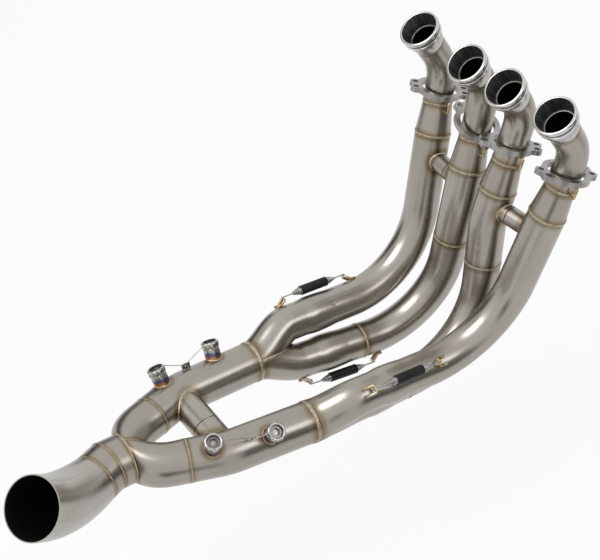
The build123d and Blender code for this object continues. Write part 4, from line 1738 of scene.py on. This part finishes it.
@dataclass
class SensorFittings:
    """Bosses on the secondaries, with their screw plugs."""

    boss_od: float = 19.5
    boss_height: float = 12.5
    boss_bore: float = 14.2
    boss_edge: float = 0.5
    boss_pitch: float = 1.0
    head_od: float = 21.5
    head_height: float = 8.0
    foot_inset: float = 1.2
    foot_round: tuple = ((0.5, 0.7), (1.0, 0.4), (2.2, 0.0))
    rim_round: tuple = ((1.6, 0.0, 1.0), (0.8, 0.3, 0.8), (0.2, 0.9, 0.4))
    rim_inset: float = 1.5
    recess_od: float = 15.5
    recess_depth: float = 3.5
    recess_round: tuple[float, float] = (0.4, 0.5)
    edge: float = 0.3
    socket_corners: float = 9.5
    socket_depth: float = 6.0
    notches: int = 6
    notch_depth: float = 0.9
    notch_start: float = 0.62
    notch_ease: float = 0.2
    facets: int = 96
    sharp: float = 40.0
    weld: float = 0.85
    weld_flare: float = 0.8
    left_marks: tuple = ((48.0, 63.0), (13.0, 63.0))
    right_marks: tuple = ((60.0, 52.0), (19.0, 66.0))

    def seats(self, side: Side) -> list[tuple[Array, Array]]:
        """Places of one side's two plugs, by their reach along the tubes and their turn from outboard.

        Args:
            side: Which secondary.

        Returns:
            Point on the tube's axis and outward direction of each.
        """
        outlet, corner, seam = PLAN.secondary(side)
        found = []
        marks = self.left_marks if side is Side.LEFT else self.right_marks
        for start, end, (reach, turn) in zip((outlet, corner), (corner, seam), marks):
            way = unit(end - start)
            found.append((start + way * reach, side.outboard(way, turn)))
        return found

    def plug_outlines(self) -> list[tuple[float, Array, float]]:
        """Rings of a plug, from below to the socket's floor.

        Returns:
            Height, radius at each facet and painted shade of each ring.
        """
        angles = np.linspace(0, 2 * math.pi, self.facets, endpoint=False)
        wave = np.clip((np.cos(angles * self.notches) - self.notch_start) / self.notch_ease, 0, 1)
        notch = self.notch_depth * eased(wave)
        turn = np.mod(angles, math.pi / 3) - math.pi / 6
        hexagon = self.socket_corners / 2 * math.cos(math.pi / 6) / np.cos(turn)
        plain = np.ones(self.facets)
        head, recess, top, e = self.head_od / 2, self.recess_od / 2, self.head_height, self.edge
        floor, depth = top - self.recess_depth, top - self.socket_depth
        fall, reach = self.recess_round
        rows = [(0.0, plain * 0, 0.0), (0.0, plain * (head - self.foot_inset), 0.0)]
        rows += [(rise, head - inset - notch, 0.0) for rise, inset in self.foot_round]
        rows += [(top - drop, head - inset - notch * share, 0.0) for drop, inset, share in self.rim_round]
        # Painted shade in the recess and the hex socket, lighter at the hex edge and none at the socket
        # floor's middle, which shows as a painted glint
        return rows + [
            (top, plain * (head - self.rim_inset), 0.0), (top, plain * (recess + reach), 0.0),
            (top - fall, plain * recess, 0.3), (floor + e, plain * recess, 0.9),
            (floor, plain * (recess - e), 0.8), (floor, hexagon + e, 0.5), (floor - e, hexagon, 0.8),
            (depth, hexagon, 0.7), (depth, plain * 0, 0.0),
        ]

    def plugs(self, shop: Workshop, material: Material) -> None:
        """Make the four notched plug heads as one piece.

        Args:
            shop: Finishing help.
            material: Their finish.
        """
        mesh = HeaderMesh("screw_plugs")
        outlines = self.plug_outlines()
        # Painted shade of each ring of a plug
        soot = np.array([dark for _, _, dark in outlines])
        along = running([
            abs(b[0] - a[0]) + abs(b[1][0] - a[1][0]) for a, b in zip(outlines, outlines[1:])
        ])
        angles = np.linspace(0, 2 * math.pi, self.facets, endpoint=False)[:, None]
        for side in Side:
            for seat, out in self.seats(side):
                foot = seat + out * (SIZES.secondary_od / 2 + self.boss_height)
                flat, upward = square_frame(out)
                spokes = np.cos(angles) * flat - np.sin(angles) * upward
                rings = np.array([
                    foot + out * rise + spokes * reach[:, None] for rise, reach, _ in outlines
                ])
                mesh.grid(rings, along, False, math.pi * self.head_od, soot)
        shop.dress(mesh.piece(self.sharp, True), material, "plug_steel", "sensor_plugs")

    def build(self, shop: Workshop, material: Material) -> None:
        """Make the four bosses as one piece.

        Args:
            shop: Finishing help.
            material: Their finish.
        """
        mesh = HeaderMesh("heated_bosses")
        skin = SIZES.secondary_od / 2
        top = skin + self.boss_height
        for side in Side:
            cut = onto_secondary(side)
            for seat, out in self.seats(side):
                first, last = seat + out * (skin + self.boss_pitch), seat + out * (top - self.boss_edge)
                run = Route.straight(first, last, self.boss_pitch)
                points = np.vstack([seat, run.points, seat + out * top])
                outer = np.full(len(points), self.boss_od / 2)
                outer[-1] -= self.boss_edge
                route = Route(points, np.tile(out, (len(points), 1)))
                mesh.shell(route, outer, np.full(len(points), self.boss_bore / 2), start=cut)
        shop.dress(mesh.piece(), material, "boss_tinted", "sensor_bosses")

    def seams(self) -> list[Seam]:
        """Welds round the bosses' feet."""
        return [
            Seam.cut_ring(seat, out, self.boss_od / 2, onto_secondary(side), self.weld_flare).wide(self.weld)
            for side in Side
            for seat, out in self.seats(side)
        ]


class NodeTree:
    """Geometry node tree with named inputs."""

    def __init__(self, name: str, inputs: dict[str, tuple[str, object]]) -> None:
        """Start a tree.

        Args:
            name: The tree's name.
            inputs: For each input its socket type and default.
        """
        self.tree = bpy.data.node_groups.new(name, "GeometryNodeTree")
        self.ids: dict[str, str] = {}
        self.tree.interface.new_socket("Geometry", in_out="INPUT", socket_type="NodeSocketGeometry")
        for label, (kind, default) in inputs.items():
            made = self.tree.interface.new_socket(label, in_out="INPUT", socket_type=kind)
            if default is not None:
                made.default_value = default
            self.ids[label] = made.identifier
        self.tree.interface.new_socket("Geometry", in_out="OUTPUT", socket_type="NodeSocketGeometry")
        self.inputs = self.tree.nodes.new("NodeGroupInput").outputs
        self.result = self.tree.nodes.new("NodeGroupOutput")

    def node(self, kind: str, settings: Optional[dict] = None,
             inputs: Optional[dict] = None) -> bpy.types.Node:
        """Add one node.

        Args:
            kind: The node's type.
            settings: Properties.
            inputs: Values, sockets, or nodes for their first output, by name or number.

        Returns:
            The node.
        """
        made = self.tree.nodes.new(kind)
        for key, setting in (settings or {}).items():
            setattr(made, key, setting)
        for key, given in (inputs or {}).items():
            term = given.outputs[0] if isinstance(given, bpy.types.Node) else given
            if isinstance(term, bpy.types.NodeSocket):
                self.tree.links.new(term, made.inputs[key])
            else:
                made.inputs[key].default_value = term
        return made

    def close(self, geometry: bpy.types.Node) -> None:
        """End the tree in real geometry with its finish.

        Args:
            geometry: The node whose geometry the tree makes.
        """
        real = self.node("GeometryNodeRealizeInstances", None, {0: geometry})
        smooth = self.node("GeometryNodeSetShadeSmooth", None, {0: real})
        finish = {"Geometry": smooth, "Material": self.inputs["Finish"]}
        dressed = self.node("GeometryNodeSetMaterial", None, finish)
        self.tree.links.new(dressed.outputs[0], self.result.inputs[0])

    def grow(self, name: str, seed: bpy.types.Mesh, **sizes: object) -> Object:
        """Run the tree on a mesh and keep the result as a plain mesh.

        Args:
            name: The piece's name.
            seed: The mesh that the tree starts from.
            **sizes: Values of the named inputs that differ from the tree's own.

        Returns:
            The object, at the origin.
        """
        holder = put(name + "_seed", seed)
        modifier = holder.modifiers.new("grow", "NODES")
        modifier.node_group = self.tree
        for label, given in sizes.items():
            modifier[self.ids[label]] = given
        graph = bpy.context.evaluated_depsgraph_get()
        mesh = bpy.data.meshes.new_from_object(holder.evaluated_get(graph), depsgraph=graph)
        mesh.name = name
        holder.modifiers.remove(modifier)
        bpy.data.objects.remove(holder)
        return put(name, mesh)


def seed_mesh(name: str, points: Array, vectors: dict[str, Array]) -> bpy.types.Mesh:
    """Loose points with vectors on them, for a tree to start from.

    Args:
        name: The mesh's name.
        points: Places, in millimetres.
        vectors: Vectors by attribute name.

    Returns:
        The mesh.
    """
    mesh = bpy.data.meshes.new(name)
    mesh.from_pydata((points * METRES).tolist(), [], [])
    for label, rows in vectors.items():
        layer = mesh.attributes.new(label, "FLOAT_VECTOR", "POINT")
        layer.data.foreach_set("vector", rows.astype(np.float32).ravel())
    return mesh


@dataclass
class WeldBeads:
    """Rows of overlapping ripples along the welds."""

    pitch: float = 1.3
    width: float = 4.0
    length: float = 2.4
    height: float = 1.1
    least: float = 0.88
    most: float = 1.12
    drop_segments: int = 8
    drop_rings: int = 5

    def tree(self) -> NodeTree:
        """Tree that sets one flattened drop on each place, facing off the skin.

        Returns:
            The tree.
        """
        bead = Vector((self.length, self.width, self.height)) * METRES
        t = NodeTree("weld_ripples", {
            "Bead Size": ("NodeSocketVector", bead),
            "Seed": ("NodeSocketInt", 7),
            "Finish": ("NodeSocketMaterial", None),
        })
        facets = {"Segments": self.drop_segments, "Rings": self.drop_rings, "Radius": 0.5}
        drop = t.node("GeometryNodeMeshUVSphere", None, facets)
        spots = t.node("GeometryNodeMeshToPoints", None, {0: t.inputs["Geometry"]})
        off, ahead, swell = (
            t.node("GeometryNodeInputNamedAttribute", {"data_type": "FLOAT_VECTOR"}, {"Name": label})
            for label in ("off", "ahead", "swell")
        )
        facing = t.node("FunctionNodeAlignRotationToVector", {"axis": "Z"}, {"Vector": off})
        turned = t.node(
            "FunctionNodeAlignRotationToVector", {"axis": "X", "pivot_axis": "Z"},
            {"Rotation": facing, "Vector": ahead},
        )
        limits = {2: self.least, 3: self.most, "Seed": t.inputs["Seed"]}
        vary = t.node("FunctionNodeRandomValue", {"data_type": "FLOAT"}, limits)
        varied = {0: t.inputs["Bead Size"], "Scale": vary.outputs[1]}
        plain = t.node("ShaderNodeVectorMath", {"operation": "SCALE"}, varied)
        size = t.node("ShaderNodeVectorMath", {"operation": "MULTIPLY"}, {0: plain, 1: swell})
        placed = t.node("GeometryNodeInstanceOnPoints", None, {
            "Points": spots, "Instance": drop, "Rotation": turned, "Scale": size,
        })
        t.close(placed)
        return t

    def build(self, shop: Workshop, groups: dict[str, Sequence[Seam]], material: Material) -> None:
        """Make the ripples of each group of welds.

        Args:
            shop: Finishing help.
            groups: Welds by the name of their piece.
            material: Their finish.
        """
        tree = self.tree()
        for name, seams in groups.items():
            rows = [seam.beads(self.pitch) for seam in seams]
            points, ahead, off = (np.vstack([row[k] for row in rows]) for k in range(3))
            swell = np.vstack([np.full((len(row[0]), 3), seam.spread) for row, seam in zip(rows, seams)])
            seed = seed_mesh(name, points, {"ahead": ahead, "off": off, "swell": swell})
            shop.dress(tree.grow(name, seed, Finish=material), material, "hook_wire")


@dataclass
class Springs:
    """Tension springs with tapered coils, hooked ends and rubber sleeves."""

    coil_od: float = 9.2
    coil_length: float = 64.0
    wire: float = 1.8
    taper: float = 9.0
    wrap: float = 2.75
    front: float = 37.0
    rear: float = 24.0
    body_turns: float = 24.0
    end_turns: float = 4.0
    turn_steps: int = 24
    wire_facets: int = 10
    tail_facets: int = 12
    tail_pitch: float = 0.6
    tail_overlap: float = 1.0
    play: float = 0.05
    sharp: float = 60.0
    sleeve_od: float = 12.0
    sleeve_length: float = 39.0
    sleeve_lift: float = 2.4
    sleeve_edge: float = 0.5
    sleeve_play: float = 0.1
    sleeve_facets: int = 40
    sleeve_steps: int = 88
    sleeve_sharp: float = 50.0
    ridges: int = 22
    ridge_depth: float = 0.14

    def tree(self) -> NodeTree:
        """Tree that winds a coil with a cone of turns at each end, along the seed's own axis.

        Returns:
            The tree.
        """
        sizes = {
            "Coil Radius": (self.coil_od - self.wire) / 2, "End Radius": self.wire / 2,
            "Body Length": self.coil_length - 2 * self.taper, "End Length": self.taper,
            "Wire Radius": self.wire / 2,
        }
        t = NodeTree("spring_coil", {
            **{label: ("NodeSocketFloat", size * METRES) for label, size in sizes.items()},
            "Body Turns": ("NodeSocketFloat", self.body_turns),
            "End Turns": ("NodeSocketFloat", self.end_turns),
            "Middle": ("NodeSocketVector", (0.0, 0.0, 0.0)),
            "Turn": ("NodeSocketRotation", None),
            "Finish": ("NodeSocketMaterial", None),
        })
        half = t.node("ShaderNodeMath", {"operation": "MULTIPLY"}, {0: t.inputs["Body Length"], 1: 0.5})
        lower = t.node("ShaderNodeMath", {"operation": "MULTIPLY"}, {0: half, 1: -1.0})
        bottom = t.node("ShaderNodeMath", {"operation": "SUBTRACT"}, {0: lower, 1: t.inputs["End Length"]})
        join = t.node("GeometryNodeJoinGeometry")
        wide, tip = t.inputs["Coil Radius"], t.inputs["End Radius"]
        for low, high, part, start in (
            (wide, wide, "Body", lower), (tip, wide, "End", bottom), (wide, tip, "End", half),
        ):
            coil = t.node("GeometryNodeCurveSpiral", None, {
                "Resolution": self.turn_steps, "Rotations": t.inputs[part + " Turns"],
                "Start Radius": low, "End Radius": high, "Height": t.inputs[part + " Length"],
            })
            lift = t.node("ShaderNodeCombineXYZ", None, {"Z": start})
            moved = t.node("GeometryNodeTransform", None, {0: coil, "Translation": lift})
            t.tree.links.new(moved.outputs[0], join.inputs[0])
        round_wire = {"Resolution": self.wire_facets, "Radius": t.inputs["Wire Radius"]}
        ring = t.node("GeometryNodeCurvePrimitiveCircle", None, round_wire)
        wire = t.node("GeometryNodeCurveToMesh", None, {
            "Curve": join, "Profile Curve": ring, "Fill Caps": True,
        })
        placed = t.node("GeometryNodeTransform", None, {
            0: wire, "Translation": t.inputs["Middle"], "Rotation": t.inputs["Turn"],
        })
        t.close(placed)
        return t

    def axis_radius(self) -> float:
        """Distance of a spring's axis from the pipe's axis."""
        return SIZES.bell_radius + self.sleeve_od / 2 + self.sleeve_lift

    def hooks(self, pipe: Primary) -> tuple[Array, Array]:
        """Places of the front and rear hook bars on the spring's axis."""
        out = pipe.spring_out * self.axis_radius()
        return (pipe.bell_mouth - pipe.rearward * self.front + out,
                pipe.entry + pipe.rearward * self.rear + out)

    def build(self, shop: Workshop, wire: Material, rubber: Material) -> None:
        """Make the springs and their sleeves.

        Args:
            shop: Finishing help.
            wire: Finish of the springs.
            rubber: Finish of the sleeves.
        """
        tree = self.tree()
        for number, pipe in PRIMARIES.items():
            front, rear = self.hooks(pipe)
            middle = (front + rear) / 2
            axis = Vector(pipe.rearward)
            coil = tree.grow(
                f"coil_{number}", seed_mesh("coil", middle[None, :], {}),
                Middle=Vector(middle * METRES), Turn=axis.to_track_quat("Z", "Y").to_euler(), Finish=wire,
            )
            ends = HeaderMesh("ends")
            out = pipe.spring_out
            for bar, ahead in ((front, -pipe.rearward), (rear, pipe.rearward)):
                corners = [
                    middle + ahead * (self.coil_length / 2 - self.tail_overlap),
                    bar + ahead * self.wrap,
                    bar + ahead * self.wrap - out * self.wrap * 2,
                    bar - ahead * self.wire - out * self.wrap * 2,
                ]
                hook = Route.bent(corners, [self.wrap - self.play] * 2, self.tail_pitch)
                ends.bar(hook, self.wire / 2, self.tail_facets)
            tail = ends.piece(self.sharp)
            tail.data.materials.append(wire)
            joined = merged(f"spring_{number}_wire", [coil, tail], self.sharp)
            shop.dress(joined, wire, "spring_wire", f"spring_{number}")
            self.sleeve(shop, number, middle, pipe.rearward, rubber)

    def sleeve(self, shop: Workshop, number: int, middle: Array, axis: Array, rubber: Material) -> None:
        """Make one rubber sleeve with soft ridges and rounded ends.

        Args:
            shop: Finishing help.
            number: The primary's number.
            middle: Middle of the spring.
            axis: The spring's direction.
            rubber: The finish.
        """
        half, outer, e = self.sleeve_length / 2, self.sleeve_od / 2, self.sleeve_edge
        bore = self.coil_od / 2 + self.sleeve_play
        profile = [(-half, bore), (-half, outer - e), (-half + e, outer)]
        for k in range(1, self.sleeve_steps):
            share = k / self.sleeve_steps
            ridge = self.ridge_depth * (0.5 - 0.5 * math.cos(2 * math.pi * self.ridges * share))
            profile.append((-half + e + (self.sleeve_length - 2 * e) * share, outer - ridge))
        profile += [(half - e, outer), (half, outer - e), (half, bore)]
        mesh = HeaderMesh(f"rubber_sleeve_{number}")
        mesh.turned(middle, axis, profile, self.sleeve_facets)
        shop.dress(mesh.piece(self.sleeve_sharp, True), rubber, "sleeve_rubber", f"spring_sleeve_{number}")


def merged(name: str, things: Sequence[Object], sharp: float) -> Object:
    """Several objects at the origin joined into one.

    Args:
        name: Name of the result.
        things: The objects, which are used up.
        sharp: Edges turned by more than this, in degrees, stay sharp.

    Returns:
        The joined object.
    """
    work = bmesh.new()
    for thing in things:
        work.from_mesh(thing.data)
    mesh = bpy.data.meshes.new(name)
    work.to_mesh(mesh)
    work.free()
    mesh.shade_smooth()
    mesh.set_sharp_from_angle(angle=math.radians(sharp))
    for thing in things:
        bpy.data.objects.remove(thing)
    return put(name, mesh)


@dataclass(frozen=True)
class Panel:
    """A lamp or a dark card: its place from the target and its sides, in metres, and a lamp's power."""

    name: str
    place: tuple[float, float, float]
    sides: tuple[float, float]
    watts: float = 0.0


@dataclass
class Studio:
    """Pale floor, soft light and the camera at the photograph's angle."""

    azimuth: float = -34.065
    elevation: float = 38.991
    distance: float = 1.456
    target: tuple[float, float, float] = (-0.24443, 0.0, -0.18916)
    focal: float = 1304.09
    width: int = 600
    sensor: float = 36.0
    clip_end: float = 50.0
    floor_drop: float = 0.16
    floor_reach: float = 8.0
    floor_glow: float = 0.9
    soft_light: float = 0.55
    lamps: tuple[Panel, ...] = (
        Panel("key", (-1.3, 0.4, 1.9), (1.4, 1.4), 26.0),
        Panel("fill", (0.9, -1.7, 1.1), (1.2, 1.2), 9.0),
    )
    cards: tuple[Panel, ...] = (
        Panel("flag_right", (0.9, -1.2, 0.12), (1.8, 1.2)),
        Panel("flag_left", (-0.3, 1.5, 0.1), (1.2, 0.8)),
        Panel("flag_back", (-0.75, 1.1, 1.1), (0.7, 0.45)),
        Panel("flag_front", (-0.55, -0.85, -0.3), (0.5, 0.5)),
    )

    def back(self) -> Vector:
        """Unit vector from the target to the camera."""
        a, e = math.radians(self.azimuth), math.radians(self.elevation)
        return Vector((math.sin(a) * math.cos(e), -math.cos(a) * math.cos(e), math.sin(e)))

    def camera(self) -> None:
        """Make the camera."""
        data = bpy.data.cameras.new("view")
        data.sensor_fit = "HORIZONTAL"
        data.sensor_width = self.sensor
        data.lens = self.focal * self.sensor / self.width
        data.clip_end = self.clip_end
        thing = put("view", data)
        a = math.radians(self.azimuth)
        back = self.back()
        right = Vector((math.cos(a), math.sin(a), 0.0))
        upward = back.cross(right)
        place = Vector(self.target) + back * self.distance
        rows = Matrix((right, upward, back)).transposed().to_4x4()
        thing.matrix_world = Matrix.Translation(place) @ rows
        bpy.context.scene.camera = thing

    def seen_white(self, s: Shader) -> Value:
        """Tell the rays that should meet a white background.

        Args:
            s: The tree that asks.

        Returns:
            1 for such rays, 0 for others.
        """
        path = s.tree.nodes.new("ShaderNodeLightPath")
        kinds = ("Camera", "Glossy", "Transmission")
        seen, glossy, through = (Value(s, path.outputs[f"Is {kind} Ray"]) for kind in kinds)
        return (seen + glossy + through).held()

    def floor(self, lowest: float) -> None:
        """Make the floor.

        Args:
            lowest: Height of the object's lowest point, in metres.
        """
        s = Shader("pale_floor")
        grain = s.noise(3.0)
        tone = s.blend(grain, shade(0.86, 0.86, 0.86), shade(0.9, 0.9, 0.9))
        matte = s.node("ShaderNodeBsdfDiffuse", None, {"Color": tone})
        glow = s.node("ShaderNodeEmission", None, {"Color": shade(1, 1, 1), "Strength": 1.0})
        share = self.seen_white(s) * self.floor_glow
        mixed = s.node("ShaderNodeMixShader", None, {0: share, 1: matte, 2: glow})
        s.node("ShaderNodeOutputMaterial", None, {"Surface": mixed})
        mesh = bpy.data.meshes.new("floor")
        r, z = self.floor_reach, lowest - self.floor_drop
        mesh.from_pydata([(-r, -r, z), (r, -r, z), (r, r, z), (-r, r, z)], [], [(0, 1, 2, 3)])
        mesh.materials.append(s.material)
        thing = put("floor", mesh)
        thing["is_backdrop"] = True

    def facing(self, panel: Panel) -> Matrix:
        """Place and turn of a panel that faces the target."""
        turn = Vector(panel.place).to_track_quat("Z", "Y").to_matrix().to_4x4()
        return Matrix.Translation(Vector(self.target) + Vector(panel.place)) @ turn

    def light(self, panel: Panel) -> None:
        """Add one soft rectangular lamp.

        Args:
            panel: The lamp.
        """
        data = bpy.data.lights.new(panel.name, "AREA")
        data.shape = "RECTANGLE"
        data.size, data.size_y = panel.sides
        data.energy = panel.watts
        put(panel.name, data).matrix_world = self.facing(panel)

    def flag(self, panel: Panel) -> None:
        """Add a dark card that only shows in reflections.

        Args:
            panel: The card.
        """
        s = Shader(panel.name)
        tone = s.blend(s.noise(4.0), shade(0.05, 0.05, 0.05), shade(0.07, 0.07, 0.07))
        s.surface(Base_Color=tone, Roughness=0.9)
        stand = self.facing(panel)
        w, h = panel.sides[0] / 2, panel.sides[1] / 2
        corners = [stand @ Vector((x, y, 0)) for x, y in ((-w, -h), (w, -h), (w, h), (-w, h))]
        mesh = bpy.data.meshes.new(panel.name)
        mesh.from_pydata(corners, [], [(0, 1, 2, 3)])
        mesh.materials.append(s.material)
        thing = put(panel.name, mesh)
        thing.visible_camera = False
        thing.visible_shadow = False
        thing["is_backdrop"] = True

    def world(self) -> None:
        """Make the world: white to the eye and in metal, softer as light."""
        world = bpy.data.worlds.new("studio")
        bpy.context.scene.world = world
        s = Shader("studio", world)
        soft, white = (
            s.node("ShaderNodeBackground", None, {"Color": shade(1, 1, 1), "Strength": strength})
            for strength in (self.soft_light, 1.0)
        )
        mixed = s.node("ShaderNodeMixShader", None, {0: self.seen_white(s), 1: soft, 2: white})
        s.node("ShaderNodeOutputWorld", None, {"Surface": mixed})

    def build(self, lowest: float) -> None:
        """Set the whole stage.

        Args:
            lowest: Height of the object's lowest point, in metres.
        """
        self.camera()
        self.floor(lowest)
        self.world()
        for lamp in self.lamps:
            self.light(lamp)
        for card in self.cards:
            self.flag(card)
        bpy.context.scene.view_settings.view_transform = "Standard"


def main() -> None:
    """Build the header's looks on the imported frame."""
    logging.basicConfig(level=logging.INFO, format="%(message)s")
    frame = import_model()
    solid_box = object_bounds()

    spigots, primaries, crossings = PortSpigots(), PrimaryTubes(), CrossTubes()
    collectors, rear, fittings = Collectors(), RearTubes(), SensorFittings()
    groups = {
        "welds_ports": primaries.seams(),
        "welds_cross_tubes": crossings.seams(),
        "welds_collectors": collectors.seams(),
        "welds_rear": rear.seams(),
        "welds_bosses": fittings.seams(),
    }
    shop = Workshop(HeatMap([seam for seams in groups.values() for seam in seams]), frame["nodes"])

    satin_port = SatinTubeFinish("satin_port", base=shade(0.37, 0.345, 0.305)).material()
    satin_run = SatinTubeFinish("satin_run").material()
    # Copies of one satin finish: the rear tubes' darker base is painted shade, the outlet bend's lighter
    # base painted light, for how light falls on each
    satin_y_painted_shade = SatinTubeFinish("satin_y_painted_shade", base=shade(0.355, 0.335, 0.30)).material()
    satin_outlet_painted_light = SatinTubeFinish("satin_outlet_painted_light", base=shade(0.43, 0.415, 0.385)).material()
    gold_wire = TintedWireFinish("gold_wire").material()
    bright_wire = TintedWireFinish(
        "bright_wire", cool=shade(0.46, 0.45, 0.43), warm=shade(0.36, 0.35, 0.33), patch=60.0
    ).material()
    weld = WeldFinish().material()
    plate = BlastedPlateFinish().material()

    spigots.build(shop, BrightTurnedFinish().material())
    primaries.build(shop, satin_port, satin_run)
    crossings.build(shop, satin_run)
    collectors.build(shop, satin_run)
    rear.build(shop, satin_y_painted_shade, satin_outlet_painted_light)
    fittings.build(shop, HeatedBossFinish().material())
    fittings.plugs(shop, TurnedPlugFinish().material())
    WeldBeads().build(shop, groups, weld)
    Springs().build(shop, bright_wire, RubberFinish().material())
    for number in PRIMARIES:
        shop.coat(f"port_flange_{number}", plate)
    for node in ("flange_stop_hooks", "spring_hooks"):
        shop.coat(node, gold_wire)
    shop.coat("lockwire_tabs", TintedWireFinish(
        "tab_steel", cool=shade(0.44, 0.42, 0.39), warm=shade(0.2, 0.17, 0.14), patch=220.0
    ).material())
    for node in ("lockwire_left", "lockwire_right"):
        shop.coat(node, bright_wire)

    Studio().build(solid_box[0][2])


if __name__ == "__main__":
    main()
